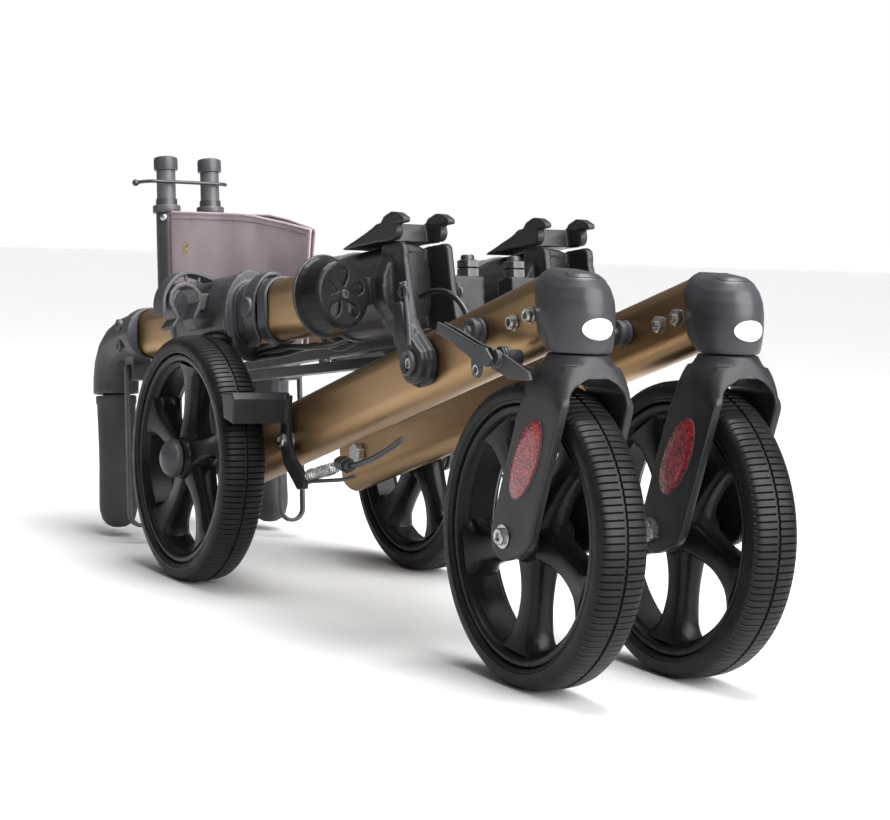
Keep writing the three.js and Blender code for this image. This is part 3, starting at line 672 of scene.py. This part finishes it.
def frame_bolts(side):
    space = side_space(side)
    tube = tube_space(side)
    reach = FORK_OUTER
    pin = merged(
        socket_bolt(4.6, reach - 1, 2.6, 2.4),
        at(nut(6.5, 0, 5, 4.0), -reach - 0.5, 0, 0, pi),
        lathe([(0, -reach - 1), (4, -reach - 1), (4, reach), (0, reach)], "X", 32),
    )
    at(pin, 0, HINGE.y, HINGE.z)
    piece(f"{side}_hinge_bolt", pin, space, "zinc", f"{side}_frame", (f"{side}_hinge_pin",))
    profile = [(5.2, 0), (8.6, 0), (9.2, 0.8), (9.0, 3.0), (8.2, 3.4), (6.6, 3.2), (5.2, 1.2), (5.2, 0)]
    ring = at(lathe([(r, reach + x) for r, x in profile], "X", 48), 0, HINGE.y, HINGE.z)
    piece(f"{side}_hinge_boss", ring, space, "plastic", f"{side}_frame", sharp=50)

    for index, (along, up) in enumerate(((-139, -1.5), (-118, -1))):
        bolt = merged(washer(5.6, 14.1, 15.0), socket_bolt(4.7, 15.0, 3.6, 2.2))
        piece(f"{side}_cap_bolt_{index}", at(bolt, 0, along, up), tube, "zinc", f"{side}_frame")
        inner = merged(washer(5.8, 14.1, 15.0), nut(5.2, 15.0, 4.6, 2.6))
        turned = moved(inner, Matrix.Rotation(pi, 4, "Z"))
        piece(f"{side}_cap_nut_{index}", at(turned, 0, along, up), tube, "zinc", f"{side}_frame")

    space_wheel = side_space(side) @ Matrix.Translation((0, 0, WHEEL_RADIUS))
    axle = merged(
        washer(8.0, 28.1, 29.0, 4),
        socket_bolt(5.6, 29.0, 3.4, 2.6),
        at(nut(7.6, 0, 5.5, 4.4), -28.3, 0, 0, pi),
        lathe([(0, -29), (5, -29), (5, 29), (0, 29)], "X", 24),
    )
    piece(f"{side}_axle_bolt", axle, space_wheel, "zinc", f"{side}_caster", (f"{side}_front_axle",))
    spacer = merged(washer(9, 17.6, 21.2, 5.2), at(washer(9, 17.6, 21.2, 5.2), 0, 0, 0, pi))
    piece(f"{side}_axle_spacers", spacer, space_wheel, "plastic", f"{side}_caster")
    dressed(f"{side}_rear_axle", "zinc", 0.5)

    stop_y, stop_z = -76.0, 3.5
    profile = [(4.2, 14.4), (8.6, 14.4), (9, 14.9), (9, 17.4), (8.2, 18)]
    profile += [(8.2, 20), (9, 20.6), (9, 23), (8.5, 23.5), (4.2, 23.5)]
    bushes = [at(lathe(profile, "X", 40), turn=turn) for turn in (0, pi)]
    bm = at(merged(*bushes), 0, stop_y, stop_z)
    piece(f"{side}_stop_bushes", bm, tube, "plastic", f"{side}_frame", (f"{side}_stop_pin",))
    shaft = lathe([(0, -27.5), (3.4, -27.5), (4, -26.9), (4, 24.9), (3.4, 25.5), (0, 25.5)], "X", 28)
    piece(f"{side}_stop_shaft", at(shaft, 0, stop_y, stop_z), tube, "zinc", f"{side}_frame")


# ---------------------------------------------------------------- tubes
def oval_tube(name, space, body, node, size, low, high, at_height=0.0):
    """A drawn oval tube with open ends."""
    width, height = size
    wall = 2.0
    outer = stadium(width, height, at_height)
    inner = stadium(width - 2 * wall, height - 2 * wall, at_height)
    edge = stadium(width - 0.8, height - 0.8, at_height)
    rings = [
        [(a, low, b) for a, b in inner],
        [(a, low, b) for a, b in edge],
        [(a, low + 0.4, b) for a, b in outer],
        [(a, high - 0.4, b) for a, b in outer],
        [(a, high, b) for a, b in edge],
        [(a, high, b) for a, b in inner],
    ]
    piece(name, skin(rings, closed=True), space, "bronze", body, (node,), sharp=40)


def tubes(side):
    tube, post = tube_space(side), post_space(side)
    frame_body, post_body, handle_body = f"{side}_frame", f"{side}_post", f"{side}_handle"
    lower, middle, upper = f"{side}_lower_tube", f"{side}_post_tube", f"{side}_handle_tube"
    oval_tube(f"{side}_lower_oval", tube, frame_body, lower, LOWER_TUBE, -151.5, 372)
    oval_tube(f"{side}_post_oval", post, post_body, middle, POST_TUBE, 41, 330, POST_AXIS)
    oval_tube(f"{side}_handle_oval", post, handle_body, upper, HANDLE_TUBE, 120, 514, POST_AXIS)


# ---------------------------------------------------------------- caster
def oval_badge(side):
    """A blank oval plate that follows the front of the cap."""
    rows, columns = 10, 24
    layers = []
    for lift, edge_drop in ((0.25, 0.0), (1.0, 0.35)):
        layer = []
        for t in [(i + 1) / rows for i in range(rows)]:
            ring = []
            for k in range(columns):
                angle = 2 * pi * k / columns
                turn = BADGE_HALF[0] * t * cos(angle) / CAP_RADIUS
                height = BADGE_LEVEL + BADGE_HALF[1] * t * sin(angle)
                out = dome_radius(height) + lift - edge_drop * t**6
                ring.append((out * sin(turn), STEM_Y - out * cos(turn), height))
            layer.append(ring)
        layers.append(layer)
    back, face = layers
    plate = skin(back + face[::-1])
    piece(f"{side}_cap_badge", plate, side_space(side), "badge", f"{side}_frame", sharp=50)


def dome_radius(z):
    """The cap's radius at a height above the floor."""
    rows = [(221.2, 20.0), (224, 21.1), (230, 22.0), (238, 22.4), (247, 22.1)]
    rows += [(255, 20.9), (262, 18.3), (267.5, 14.4), (271, 9.6), (CAP_TOP, 0)]
    for (z0, r0), (z1, r1) in zip(rows, rows[1:]):
        if z <= z1:
            t = max(0.0, (z - z0) / (z1 - z0))
            return r0 + (r1 - r0) * t
    return 0.0


def caster_cap(side):
    """An egg shaped cap over the stem, drawn back in one sweep over the end of the lower tube."""
    hull = bmesh.new()
    levels = [221.2, 222.5, 224, 227, 230, 234, 238, 243, 247, 251, 255, 259, 262]
    for z in levels + [265, 267.5, 269.5, 271, 272.2, 272.9]:
        for k in range(72):
            turn = 2 * pi * k / 72
            hull.verts.new((dome_radius(z) * cos(turn), STEM_Y + dome_radius(z) * sin(turn), z))
    egg = bmesh.new()
    bmesh.ops.create_uvsphere(egg, u_segments=48, v_segments=32, radius=1)
    moved(egg, Matrix.Translation((0, STEM_Y + 8, 246)) @ Matrix.Diagonal((21.5, 24, 25.5, 1)))
    for vertex in egg.verts:
        hull.verts.new(vertex.co)
    egg.free()
    to_tube = side_space(side).inverted() @ tube_space(side)
    for back, grow in ((-154, 1.7), (-147.5, 1.4), (-146.5, 0.8)):
        for a, b in stadium(LOWER_TUBE[0] + 2 * grow, LOWER_TUBE[1] + 2 * grow, 0.0, 20):
            hull.verts.new(to_tube @ Vector((a, back - 0.12 * b, b)))
    made = bmesh.ops.convex_hull(hull, input=hull.verts[:])
    loose = made["geom_interior"] + made["geom_unused"]
    inside = {element for element in loose if isinstance(element, bmesh.types.BMVert)}
    bmesh.ops.delete(hull, geom=list(inside), context="VERTS")
    bmesh.ops.triangulate(hull, faces=hull.faces[:])
    bmesh.ops.recalc_face_normals(hull, faces=hull.faces[:])

    surface = BVHTree.FromBMesh(hull)
    line = []
    for k in range(61):
        turn = 2 * pi * k / 60
        above = Vector((11.6 * cos(turn), STEM_Y - 2.5 + 10.2 * sin(turn), 290))
        line.append(surface.ray_cast(above, Vector((0, 0, -1)))[0] - Vector((0, 0, 0.3)))

    def trim(p):
        return Vector((p.x, p.y, min(max(p.z, CAP_BOTTOM + 0.3), CAP_TOP + 0.2)))

    space = side_space(side)
    nodes = (f"{side}_caster_cap",)
    cast(f"{side}_cap_moulding", [hull], space, "plastic", f"{side}_frame", nodes, 0.9, 4, trim)
    piece(f"{side}_cap_plug_line", sweep(line, 0.42, 8), space, "rim", f"{side}_frame")


def caster(side):
    space = side_space(side)
    caster_cap(side)
    oval_badge(side)
    profile = [(0, 200), (27, 198), (26.8, 204), (25.2, 210), (22.8, 214.5)]
    profile += [(21, 217.5), (20.2, 219), (20, 220.4), (0, 220.4)]
    neck = placed(at(lathe(profile, "Z", 96), 0, STEM_Y, 0), space)
    shoulder = 180
    arch_centre, arch_radius = 186.5, 21.3

    def crown(p):
        """Rounds the arch over the tyre and draws the shoulders in to the round neck."""
        if p.z < shoulder:
            return p
        x, y, z = p
        if abs(x) < arch_radius:
            z = max(z, min(z + 8, arch_centre + sqrt(arch_radius**2 - x * x)))
        t = min(1.0, max(0.0, (z - 184) / 36))
        wide = 20 + 8.1 * (1 - t**2.6) ** 0.8
        deep = 20 + (6.5 if y < STEM_Y else 5.5) * (1 - t**1.5)
        power = 2 + 6 * (1 - t)
        dx, dy = x, y - STEM_Y
        reach = max(1.0, (abs(dx / wide) ** power + abs(dy / deep) ** power) ** (1 / power))
        blend = min(1.0, (z - shoulder) / 14) ** 2
        return Vector((x, y, z)).lerp(Vector((dx / reach, STEM_Y + dy / reach, z)), blend)

    moulded(f"{side}_caster_fork", "black", f"{side}_caster", 1.0, 9, (neck,), space, crown)
    reflector(side)


def reflector(side):
    """Red prism lens in a shallow bezel on the arm that faces the walker's right."""
    sign = 1 if side == "right" else -1
    face = sign * (FORK_OUTER + 0.3)
    tilt = Matrix.Translation((0, -24, 152)) @ Matrix.Rotation(radians(28), 4, "X")

    def oval(x, wide, tall, count):
        turns = [2 * pi * k / 48 for k in range(count)]
        return [(x, wide * cos(turn), tall * sin(turn)) for turn in turns]

    levels = ((-0.6, 1.0), (0.9, 1.0), (1.3, 0.96), (1.4, 0.6))
    lens = moved(skin([oval(face + sign * lift, 12.5 * k, 28.5 * k, 48) for lift, k in levels]), tilt)
    space, body = side_space(side), f"{side}_caster"
    piece(f"{side}_prism_lens", lens, space, "reflector", body, (f"{side}_fork_reflector",), sharp=45)
    bezel = moved(sweep(oval(face - sign * 0.1, 12.9, 28.9, 49), 0.6, 8), tilt)
    piece(f"{side}_lens_bezel", bezel, space, "plastic", body)


# ---------------------------------------------------------------- hinge and post
def housing(side):
    space = post_space(side)

    def boss(p):
        """Slims the bosses round the hinge bolt, outside the plates."""
        if abs(p.x) > 21.6 and hypot(p.y, p.z) < 26:
            return Vector((p.x, p.y * 0.86, p.z * 0.86))
        return p

    moulded(f"{side}_hinge_housing", "black", f"{side}_post", 1.1, 6, (), space, boss)
    moulded(f"{side}_latch_claw", "black", f"{side}_latch", 0.8, 4)
    for index, y in enumerate((118, 140)):
        ring = lathe([(32.0, y), (33.4, y + 0.6), (33.4, y + 3.4), (32.0, y + 4)], "Y", 64)
        moved(ring, Matrix.Translation((0, 0, POST_AXIS)))
        piece(f"{side}_sleeve_band_{index}", ring, space, "plastic", f"{side}_post", sharp=50)
    for sign in (1, -1):
        front = [(28.6, -1, 12), (27, 2, 26), (23.2, 11, 44), (22.2, 14, 53), (21.8, 15, 58)]
        spine = smooth_path(front, 6)
        slot = smooth_path([(26.6, 9, 30), (22.6, 18, 46), (21.8, 20, 58)], 6)
        turns = [2 * pi * k / 24 for k in range(25)]
        loop = [(22.6, 16 + 5.4 * cos(turn), 51 + 4.2 * sin(turn)) for turn in turns]
        bm = merged(sweep(spine, 1.7, 10), sweep(slot, 1.3, 10), sweep(loop, 1.2, 8))
        placed(bm, Matrix.Diagonal((sign, 1, 1, 1)))
        piece(f"{side}_cheek_ribs_{'out' if sign > 0 else 'in'}", bm, space, "plastic", f"{side}_post")
    strut_bolt(side)


def strut_bolt(side):
    """Stack of nuts, spacer and washers on the strut's pivot bolt."""
    x, y = strut_point()
    turn = Matrix.Translation((x, y, 0)) @ Matrix.Rotation(-pi / 2, 4, "Y")
    stack = [
        nut(7.6, 64.3, 6.2, 4.9),
        washer(9.2, 62.7, 64.2, 5),
        nut(7.4, 71, 5.4, 4.9),
        lathe([(0, 6), (4.9, 6), (4.9, 79), (4.2, 80), (0, 80)], "X", 28),
        at(nut(7.4, -9.0, 4.6, 4.2), 0, 0, 0, pi),
        washer(8.6, 9.2, 10.2, 5),
        washer(7.2, 30.3, 33.7, 5),
    ]
    bm = moved(merged(*stack), turn)
    nodes = (f"{side}_strut_pivot",)
    piece(f"{side}_strut_bolt_stack", bm, post_space(side), "powder", f"{side}_post", nodes)


def strut_point():
    """The strut bolt's place in the post's lines, from its place in the brace's."""
    x, y = 19.5 - FRAME_X, 31.0
    c, s = cos(POST_SPLAY), sin(POST_SPLAY)
    return x * c - y * s, x * s + y * c


def collar(side):
    space = post_space(side)
    plug = prism(stadium(*POST_TUBE, POST_AXIS, 18), 40.75, 40.95, "Y")
    piece(f"{side}_post_plug", plug, space, "rim", f"{side}_post")
    moulded(f"{side}_clamp_collar", "plastic", f"{side}_post", 1.1, 6)
    moulded(f"{side}_clamp_lever", "grey", f"{side}_clamp", 0.8, 4)
    strap = []
    outline = stadium(31.4, 51.4, POST_AXIS, 18)
    for y0, y1 in ((240, 254), (279, 290)):
        rings = []
        for y, grow in ((y0, 0.0), (y0 + 0.6, 1.8), (y1 - 0.6, 1.8), (y1, 0.0)):
            wide = stadium(31.2 + grow * 2, 51.2 + grow * 2, POST_AXIS, 18)
            rings.append([(a, y, b) for a, b in wide])
        inner = [[(a, y, b) for a, b in outline] for y in (y1, y0)]
        strap.append(skin(rings + inner, closed=True))
    piece(f"{side}_post_straps", merged(*strap), space, "plastic", f"{side}_post", sharp=40)
    profile = [(0, 19.0), (8.2, 19.0), (8.2, 21.0), (7.4, 22.0), (5.8, 22.2), (5.4, 21.6), (0, 21.6)]
    button = at(lathe(profile, "X", 40), 0, 266, POST_AXIS + 4)
    piece(f"{side}_clamp_button", button, space, "plastic", f"{side}_clamp", sharp=40)


def handle(side):
    space = post_space(side)
    moulded(f"{side}_handle_elbow", "grey", f"{side}_handle", 1.2, 7)
    grip = [(0, -117), (6, -116.4), (11.5, -113.5), (15.2, -108.5), (17.2, -101), (17.6, -94)]
    grip += [(17.4, -80), (16.9, -62), (16.9, -44), (17.2, -26), (17.6, -10)]
    grip += [(17.8, -4), (18.6, -2), (18.7, 3.6), (18.0, 4.6), (0, 4.6)]
    bm = at(lathe(grip, "Z", 56), 0, 582, 0)
    piece(f"{side}_grip_sleeve", bm, space, "grip", f"{side}_handle", (f"{side}_grip",), sharp=50)
    moulded(f"{side}_brake_lever", "grey", f"{side}_hand_lever", 0.7, 3)
    profile = [(0, 21.5), (2.2, 21.5), (2.6, 22.6), (4.6, 22.6), (5.2, 22.0), (5.2, 19.0), (0, 19.0)]
    for index, z in enumerate((POST_AXIS + 9, POST_AXIS - 10)):
        screw = at(lathe(profile, "X", 32), 0, 523, z)
        piece(f"{side}_elbow_screw_{index}", screw, space, "grey", f"{side}_handle", sharp=40)
    seam = [(0, y, z + 21.1) for y, z in ((516, POST_AXIS), (530, POST_AXIS), (545, POST_AXIS - 0.6))]
    piece(f"{side}_elbow_seam", sweep(seam, 0.7, 6), space, "grey", f"{side}_handle")


# ---------------------------------------------------------------- rear brake
def brake(side):
    space = side_space(side)
    moulded(f"{side}_brake_arm", "black", f"{side}_brake", 0.7, 2)
    parts = [at(socket_bolt(5.6, 21, 3.6, 2.4), 0, 344, 126)]
    parts.append(at(washer(6.5, 14.2, 16.9, 3), 0, 344, 126))
    piece(f"{side}_brake_bolt", merged(*parts), space, "zinc", f"{side}_frame")
    rod = [(19, 309, 96), (19, 296, 99), (19, 276, 102), (17, 250, 106), (13.5, 236, 110)]
    piece(f"{side}_brake_rod", sweep(smooth_path(rod), 1.5, 10), space, "powder", f"{side}_frame")
    coil = helix((19, 300, 103.5), (18, 262, 113), 4.2, 11)
    piece(f"{side}_brake_spring", sweep(coil, 0.75, 6), space, "zinc", f"{side}_frame")
    barrel = []
    for y, r in ((252, 4.6), (244, 5.6), (238, 4.0)):
        barrel.append(lathe([(0, y - 3.4), (r, y - 3.4), (r, y + 3.0), (0, y + 3.0)], "Y", 20, hexes=(1, 2)))
    bm = moved(merged(*barrel), Matrix.Translation((17.5, 0, 118)))
    piece(f"{side}_cable_adjuster", bm, space, "powder", f"{side}_frame", bevel=0.3)
    sheath = [(17.5, 236, 118), (17.3, 222, 121), (17, 200, 128), (16.6, 176, 138), (16.4, 160, 146)]
    bm = sweep(smooth_path(sheath, 6), 2.2, 10)
    piece(f"{side}_brake_sheath", bm, space, "cable", f"{side}_frame")


def cables(side):
    """Brake cable bow at the hinge, and the runs under the post."""
    route = [(0, 171, 246), (-3, 162, 250), (-7, 150, 251), (-9.5, 137, 247), (-11, 126, 239)]
    route.append((-11, 119, 230.5))
    bow = sweep(smooth_path(route, 6), 2.2, 12)
    nodes = (f"{side}_brake_cable",)
    piece(f"{side}_cable_bow", bow, side_space(side), "cable", f"{side}_frame", nodes)
    first = [(5, 122, 27), (6, 150, 23), (4, 190, 24), (0, 235, 27), (-2, 280, 26), (-3, 300, 24)]
    second = [(-4, 122, 27), (-6, 160, 21), (-5, 200, 26), (-3, 250, 22), (-5, 300, 22)]
    for name, run in ((f"{side}_post_cable", first), (f"{side}_post_cable_2", second)):
        piece(name, sweep(smooth_path(run, 8), 2.3, 10), post_space(side), "cable", f"{side}_post")


# ---------------------------------------------------------------- right side extras
def lock_lever():
    """A folded channel with an eyed tab, on a pivot with a coil spring."""
    space = side_space("right")
    wall = [(77, 226), (75.5, 233.5), (60, 230.5), (24, 222), (12, 220.5), (4, 214), (9, 208)]
    wall += [(22, 209.5), (60, 222)]
    bottom = [(60, 222), (60, 225), (8, 214), (8, 209.5), (22, 211)]
    tab = [(15.5, 212), (16, 205), (18.5, 201), (23, 200), (27.5, 202), (29, 207), (29.5, 213)]
    arm = [(24, 214), (6, 219), (-30, 208), (-33, 203), (-8, 202), (14, 207)]
    pivot = lathe([(0, 16.5), (5.4, 16.5), (5.4, 36), (0, 36)], "X", 36)
    solids = [
        prism(wall, 32.8, 34.8),
        prism(wall, 38.0, 40.0),
        prism(bottom, 33.0, 40.0),
        prism(tab, 38.2, 40.0),
        prism(arm, 30.6, 33.2),
        at(pivot, 0, 7, 214.5),
    ]
    cast("lock_channel", solids, space, "grey", "right_lock", ("right_lock_lever",), 0.55, 2)
    profile = [(2.2, 37.6), (3.4, 37.6), (3.6, 38), (3.6, 40.2), (3.2, 40.6), (2.2, 40.4), (2.2, 37.6)]
    eye = lathe(profile, "X", 28)
    piece("lock_tab_eye", at(eye, 0, 22.5, 205.5), space, "zinc", "right_lock")
    coil = helix((27, 7, 214.5), (32, 7, 214.5), 6.6, 2.5)
    leg = smooth_path([(26, 14, 214), (24, -6, 210), (22, -20, 208), (20, -31, 206)], 5)
    spring = merged(sweep(coil, 1.0, 8), sweep(leg, 1.6, 8))
    piece("right_lock_spring", spring, space, "powder", "right_frame")


def cane_holder():
    space = post_space("right")
    # The cup is black plastic like the other mouldings; its darker rim finish is painted shade for the hollow
    # of the cup.
    moulded("right_cane_cup", "rim", "right_post", 0.7, 3)
    moulded("right_cane_clip", "grey", "right_post", 0.7, 3)
    lean = Matrix.Rotation(radians(-12), 4, "Z")
    cup_axis = Matrix.Translation((62, 46, 50)) @ lean @ Matrix.Translation((0, -46, 0))
    profile = [(0, 33.6), (1.3, 33.6), (1.7, 32.6), (3.0, 32.6), (3.6, 33.4), (3.6, 34.2), (0, 34.2)]
    screw = moved(lathe(profile, "Y", 32), cup_axis)
    piece("cane_cup_screw", screw, space, "powder", "right_post", sharp=40)
    profile = [(28.0, 53.0), (29.4, 53.4), (29.8, 54.4), (29.2, 55.4), (27.6, 55.6), (26.8, 54.2)]
    profile.append(profile[0])
    rim = moved(lathe(profile, "Y", 72), cup_axis)
    piece("cane_cup_rim", rim, space, "black", "right_post", sharp=60)
    arch = smooth_path([(60, 0, 60), (58.5, 0, 76), (50, 0, 89), (38, 0, 94.5), (25, 0, 93), (14, 0, 89)], 6)
    rings = []
    for index, p in enumerate(arch):
        ahead = (arch[min(index + 1, len(arch) - 1)] - arch[max(index - 1, 0)]).normalized()
        out = Vector((ahead.z, 0, -ahead.x)) * 1.7
        corners = ((out, 337), (out, 356), (-out, 356), (-out, 337))
        rings.append([p + lift + Vector((0, y, 0)) for lift, y in corners])
    piece("cane_clip_arch", skin(rings), space, "grey", "right_post", bevel=0.8)
    outlines = (
        [(24, 93.5), (26, 86.5), (28, 86.5), (27, 94)],
        [(37, 94), (36, 86), (38, 85.5), (40, 93.5)],
    )
    ribs = merged(*[prism(outline, 340, 342.5, "Y") for outline in outlines])
    piece("cane_clip_ribs", ribs, space, "grey", "right_post", bevel=0.4)


# ---------------------------------------------------------------- brace and seat
def brace():
    for side in SIDES:
        dressed(f"{side}_cross_strut", "powder", 0.8)
    dressed("cross_pivot_bolt", "zinc", 0.6)
    for side, body in (("left", "right_strut"), ("right", "left_strut")):
        seat_rail(side, body)
        seat_half(side, body)
    keeper()


def seat_rail(side, body):
    space = brace_space(side)
    profile = [(0, -70), (8, -70), (10, -68), (10, RAIL_FRONT - 40), (0, RAIL_FRONT - 40)]
    rod = at(lathe(profile, "Z", 40), RAIL_X, RAIL_Y, 0)
    piece(f"{side}_rail_rod", rod, space, "powder", body, (f"{side}_seat_rail",), sharp=40)
    neck = [(0, 60), (8.9, 60), (8.9, RAIL_FRONT - 12), (0, RAIL_FRONT - 12)]
    cap = [(8.9, RAIL_FRONT - 13), (11, RAIL_FRONT - 12.6), (11.2, RAIL_FRONT - 11), (11.2, RAIL_FRONT - 3)]
    cap += [(10.6, RAIL_FRONT - 1), (8, RAIL_FRONT), (0, RAIL_FRONT)]
    top = lathe(cap, "Z", 40)
    ring = lathe([(9, 176), (12.6, 176), (13, 176.6), (13, 182), (12.4, 183), (9, 183)], "Z", 40)
    bm = merged(lathe(neck, "Z", 40), top, ring)
    piece(f"{side}_rail_top", at(bm, RAIL_X, RAIL_Y, 0), space, "plastic", body, sharp=40)
    rivet = lathe([(0, 9.5), (3.6, 9.5), (3.2, 11.3), (1.8, 12.2), (0, 12.4)], "Y", 24)
    pair = merged(at(rivet.copy(), turn=pi - 0.7), at(rivet, turn=pi + 0.7))
    piece(f"{side}_rail_rivets", at(pair, RAIL_X, RAIL_Y, 171), space, "zinc", body)


def keeper():
    """Bent wire that hooks across both rails and holds them together when folded."""
    space = brace_space("left")
    height = 204
    end = (-54, RAIL_Y - 3, height - 1)
    bend = RAIL_Y - 8
    front = RAIL_Y - 12.6
    straight = [(x, front, height) for x in (-34, 0, 26)]
    path = smooth_path([end, (-46, bend, height), *straight, (35, bend, height)], 6)
    ball = bmesh.new()
    bmesh.ops.create_uvsphere(ball, u_segments=16, v_segments=10, radius=3.2)
    moved(ball, Matrix.Translation(end))
    piece("rail_keeper", merged(sweep(path, 1.7, 10), ball), space, "powder", "left_strut")


def seat_point(u, v):
    """A point on one half of the folded seat. u runs from the rail to the middle fold and v from
    the lower hem to the upper one; the cloth bows a little between its supports."""
    start, depth = RAIL_Y - 9.5, 254.0
    y = start - depth * u
    top = 176 - 34 * u - 11 * max(0.0, (u - 0.55) / 0.45) ** 1.3
    low = 34.0
    if u > 0.6:
        y += 22 * (1 - v) * ((u - 0.6) / 0.4) ** 2
    z = low + (top - low) * v
    gather = RAIL_X * (1 - u) + 2.2 * u
    bow = 5.5 * sin(pi * u) * (0.5 + 0.5 * v) + 1.6 * sin(9 * u + 2.2 * v) * (1 - v) * u
    ripple = 0.9 * sin(26 * u * (0.6 + 0.4 * v) + 1.0) * v * sin(pi * u)
    return Vector((gather + bow * 0.55 + ripple, y, z))


def seat_half(side, body):
    """Coated cloth from a rail to the middle fold, with a turned hem and a row of stitches."""
    columns, rows = 72, 40
    bm = bmesh.new()
    grid = []
    for i in range(columns + 1):
        grid.append([bm.verts.new(seat_point(i / columns, j / rows)) for j in range(rows + 1)])
    for i in range(columns):
        for j in range(rows):
            bm.faces.new((grid[i][j], grid[i + 1][j], grid[i + 1][j + 1], grid[i][j + 1]))
    nodes = (f"{side}_seat_panel",)
    cloth = piece(f"{side}_seat_cloth", bm, brace_space(side), "fabric", body, nodes, sharp=180)
    thick = cloth.modifiers.new("cloth", "SOLIDIFY")
    thick.thickness = 1.3 * MM
    thick.offset = 0

    hem_path = [seat_point(i / 60, 1.0) + Vector((0, 0, -0.2)) for i in range(61)]
    hem = piece(f"{side}_seat_hem", sweep(hem_path, 1.3, 8), brace_space(side), "fabric", body)
    stitches = []
    for index in range(58):
        u = 0.02 + 0.96 * index / 58
        for face in (0.9, -0.9):
            ends = [seat_point(u, 0.955), seat_point(u + 0.011, 0.955)]
            stitches.append(sweep([p + Vector((face, 0, 0)) for p in ends], 0.42, 6))
    seam = piece(f"{side}_seat_stitches", merged(*stitches), brace_space(side), "thread", body)
    grommet(side, body)
    width = sum((seat_point((i + 1) / 60, 0.5) - seat_point(i / 60, 0.5)).length for i in range(60))


def grommet(side, body):
    """Brass eyelet near the rail."""
    place = seat_point(0.12, 0.76)
    half = [(2.6, -1.5), (5.2, -1.5), (5.6, -0.9), (5.2, -0.7)]
    profile = half + [(r, -x) for r, x in reversed(half)] + half[:1]
    eye = at(lathe(profile, "X", 32), *place)
    piece(f"{side}_seat_eyelet", eye, brace_space(side), "brass", body, sharp=40)


# ---------------------------------------------------------------- stage, light and camera
def stage():
    bm = bmesh.new()
    bmesh.ops.create_grid(bm, x_segments=2, y_segments=2, size=14)
    mesh = bpy.data.meshes.new("floor")
    bm.to_mesh(mesh)
    bm.free()
    floor = bpy.data.objects.new("floor", mesh)
    bpy.context.scene.collection.objects.link(floor)
    n = Nodes("floor", (0.58, 0.58, 0.58), 0.8)
    n.rough(n.ramp(n.noise(3), 0.7, 0.8))
    mesh.materials.append(n.material)
    world = bpy.data.worlds.new("studio")
    world.use_nodes = True
    tree = world.node_tree
    sky = tree.nodes["Background"]
    sky.inputs["Color"].default_value = (1, 1, 1, 1)
    seen = tree.nodes.new("ShaderNodeLightPath")
    level = tree.nodes.new("ShaderNodeMapRange")
    level.inputs["To Min"].default_value = 0.2
    level.inputs["To Max"].default_value = 1.0
    tree.links.new(seen.outputs["Is Camera Ray"], level.inputs["Value"])
    tree.links.new(level.outputs["Result"], sky.inputs["Strength"])
    bpy.context.scene.world = world


def sun(direction, strength, angle):
    data = bpy.data.lights.new("sun", "SUN")
    data.energy = strength
    data.angle = radians(angle)
    light = bpy.data.objects.new("sun", data)
    light.rotation_euler = Vector(direction).to_track_quat("-Z", "Y").to_euler()
    bpy.context.scene.collection.objects.link(light)


def softbox(name, place, target, size, power):
    data = bpy.data.lights.new(name, "AREA")
    data.shape = "RECTANGLE"
    data.size, data.size_y = size
    data.energy = power
    light = bpy.data.objects.new(name, data)
    light.location = place
    light.rotation_euler = (Vector(target) - Vector(place)).to_track_quat("-Z", "Y").to_euler()
    bpy.context.scene.collection.objects.link(light)


def camera():
    """The photograph's view: low, from ahead and to the right, through a long lens."""
    yaw, pitch, roll = radians(29.834), radians(-4.891), radians(2.253)
    ahead = Vector((sin(yaw) * cos(pitch), cos(yaw) * cos(pitch), sin(pitch)))
    right = Vector((cos(yaw), -sin(yaw), 0))
    up = right.cross(ahead)
    across = right * cos(roll) + up * sin(roll)
    above = up * cos(roll) - right * sin(roll)
    data = bpy.data.cameras.new("camera")
    data.lens = 88.11
    data.sensor_width = 36
    data.sensor_fit = "HORIZONTAL"
    data.clip_end = 100
    eye = bpy.data.objects.new("camera", data)
    turn = Matrix((across, above, -ahead)).transposed().to_4x4()
    eye.matrix_world = Matrix.Translation((MID_X - 0.81144, FRONT_Y - 1.18298, 0.29864)) @ turn
    bpy.context.scene.collection.objects.link(eye)
    bpy.context.scene.camera = eye


camera()
stage()
bpy.context.scene.view_settings.view_transform = "Standard"
sun((-0.28, 0.85, -0.5), 7.5, 60)
sun((-0.1, 0.1, -1.0), 0.9, 80)
softbox("top", (0.2, -0.3, 2.2), (0, 0, 0.1), (1.4, 1.2), 70)

for each in SIDES:
    wheels(each)
    frame_bolts(each)
    tubes(each)
    caster(each)
    housing(each)
    collar(each)
    handle(each)
    brake(each)
    cables(each)
lock_lever()
cane_holder()
brace()
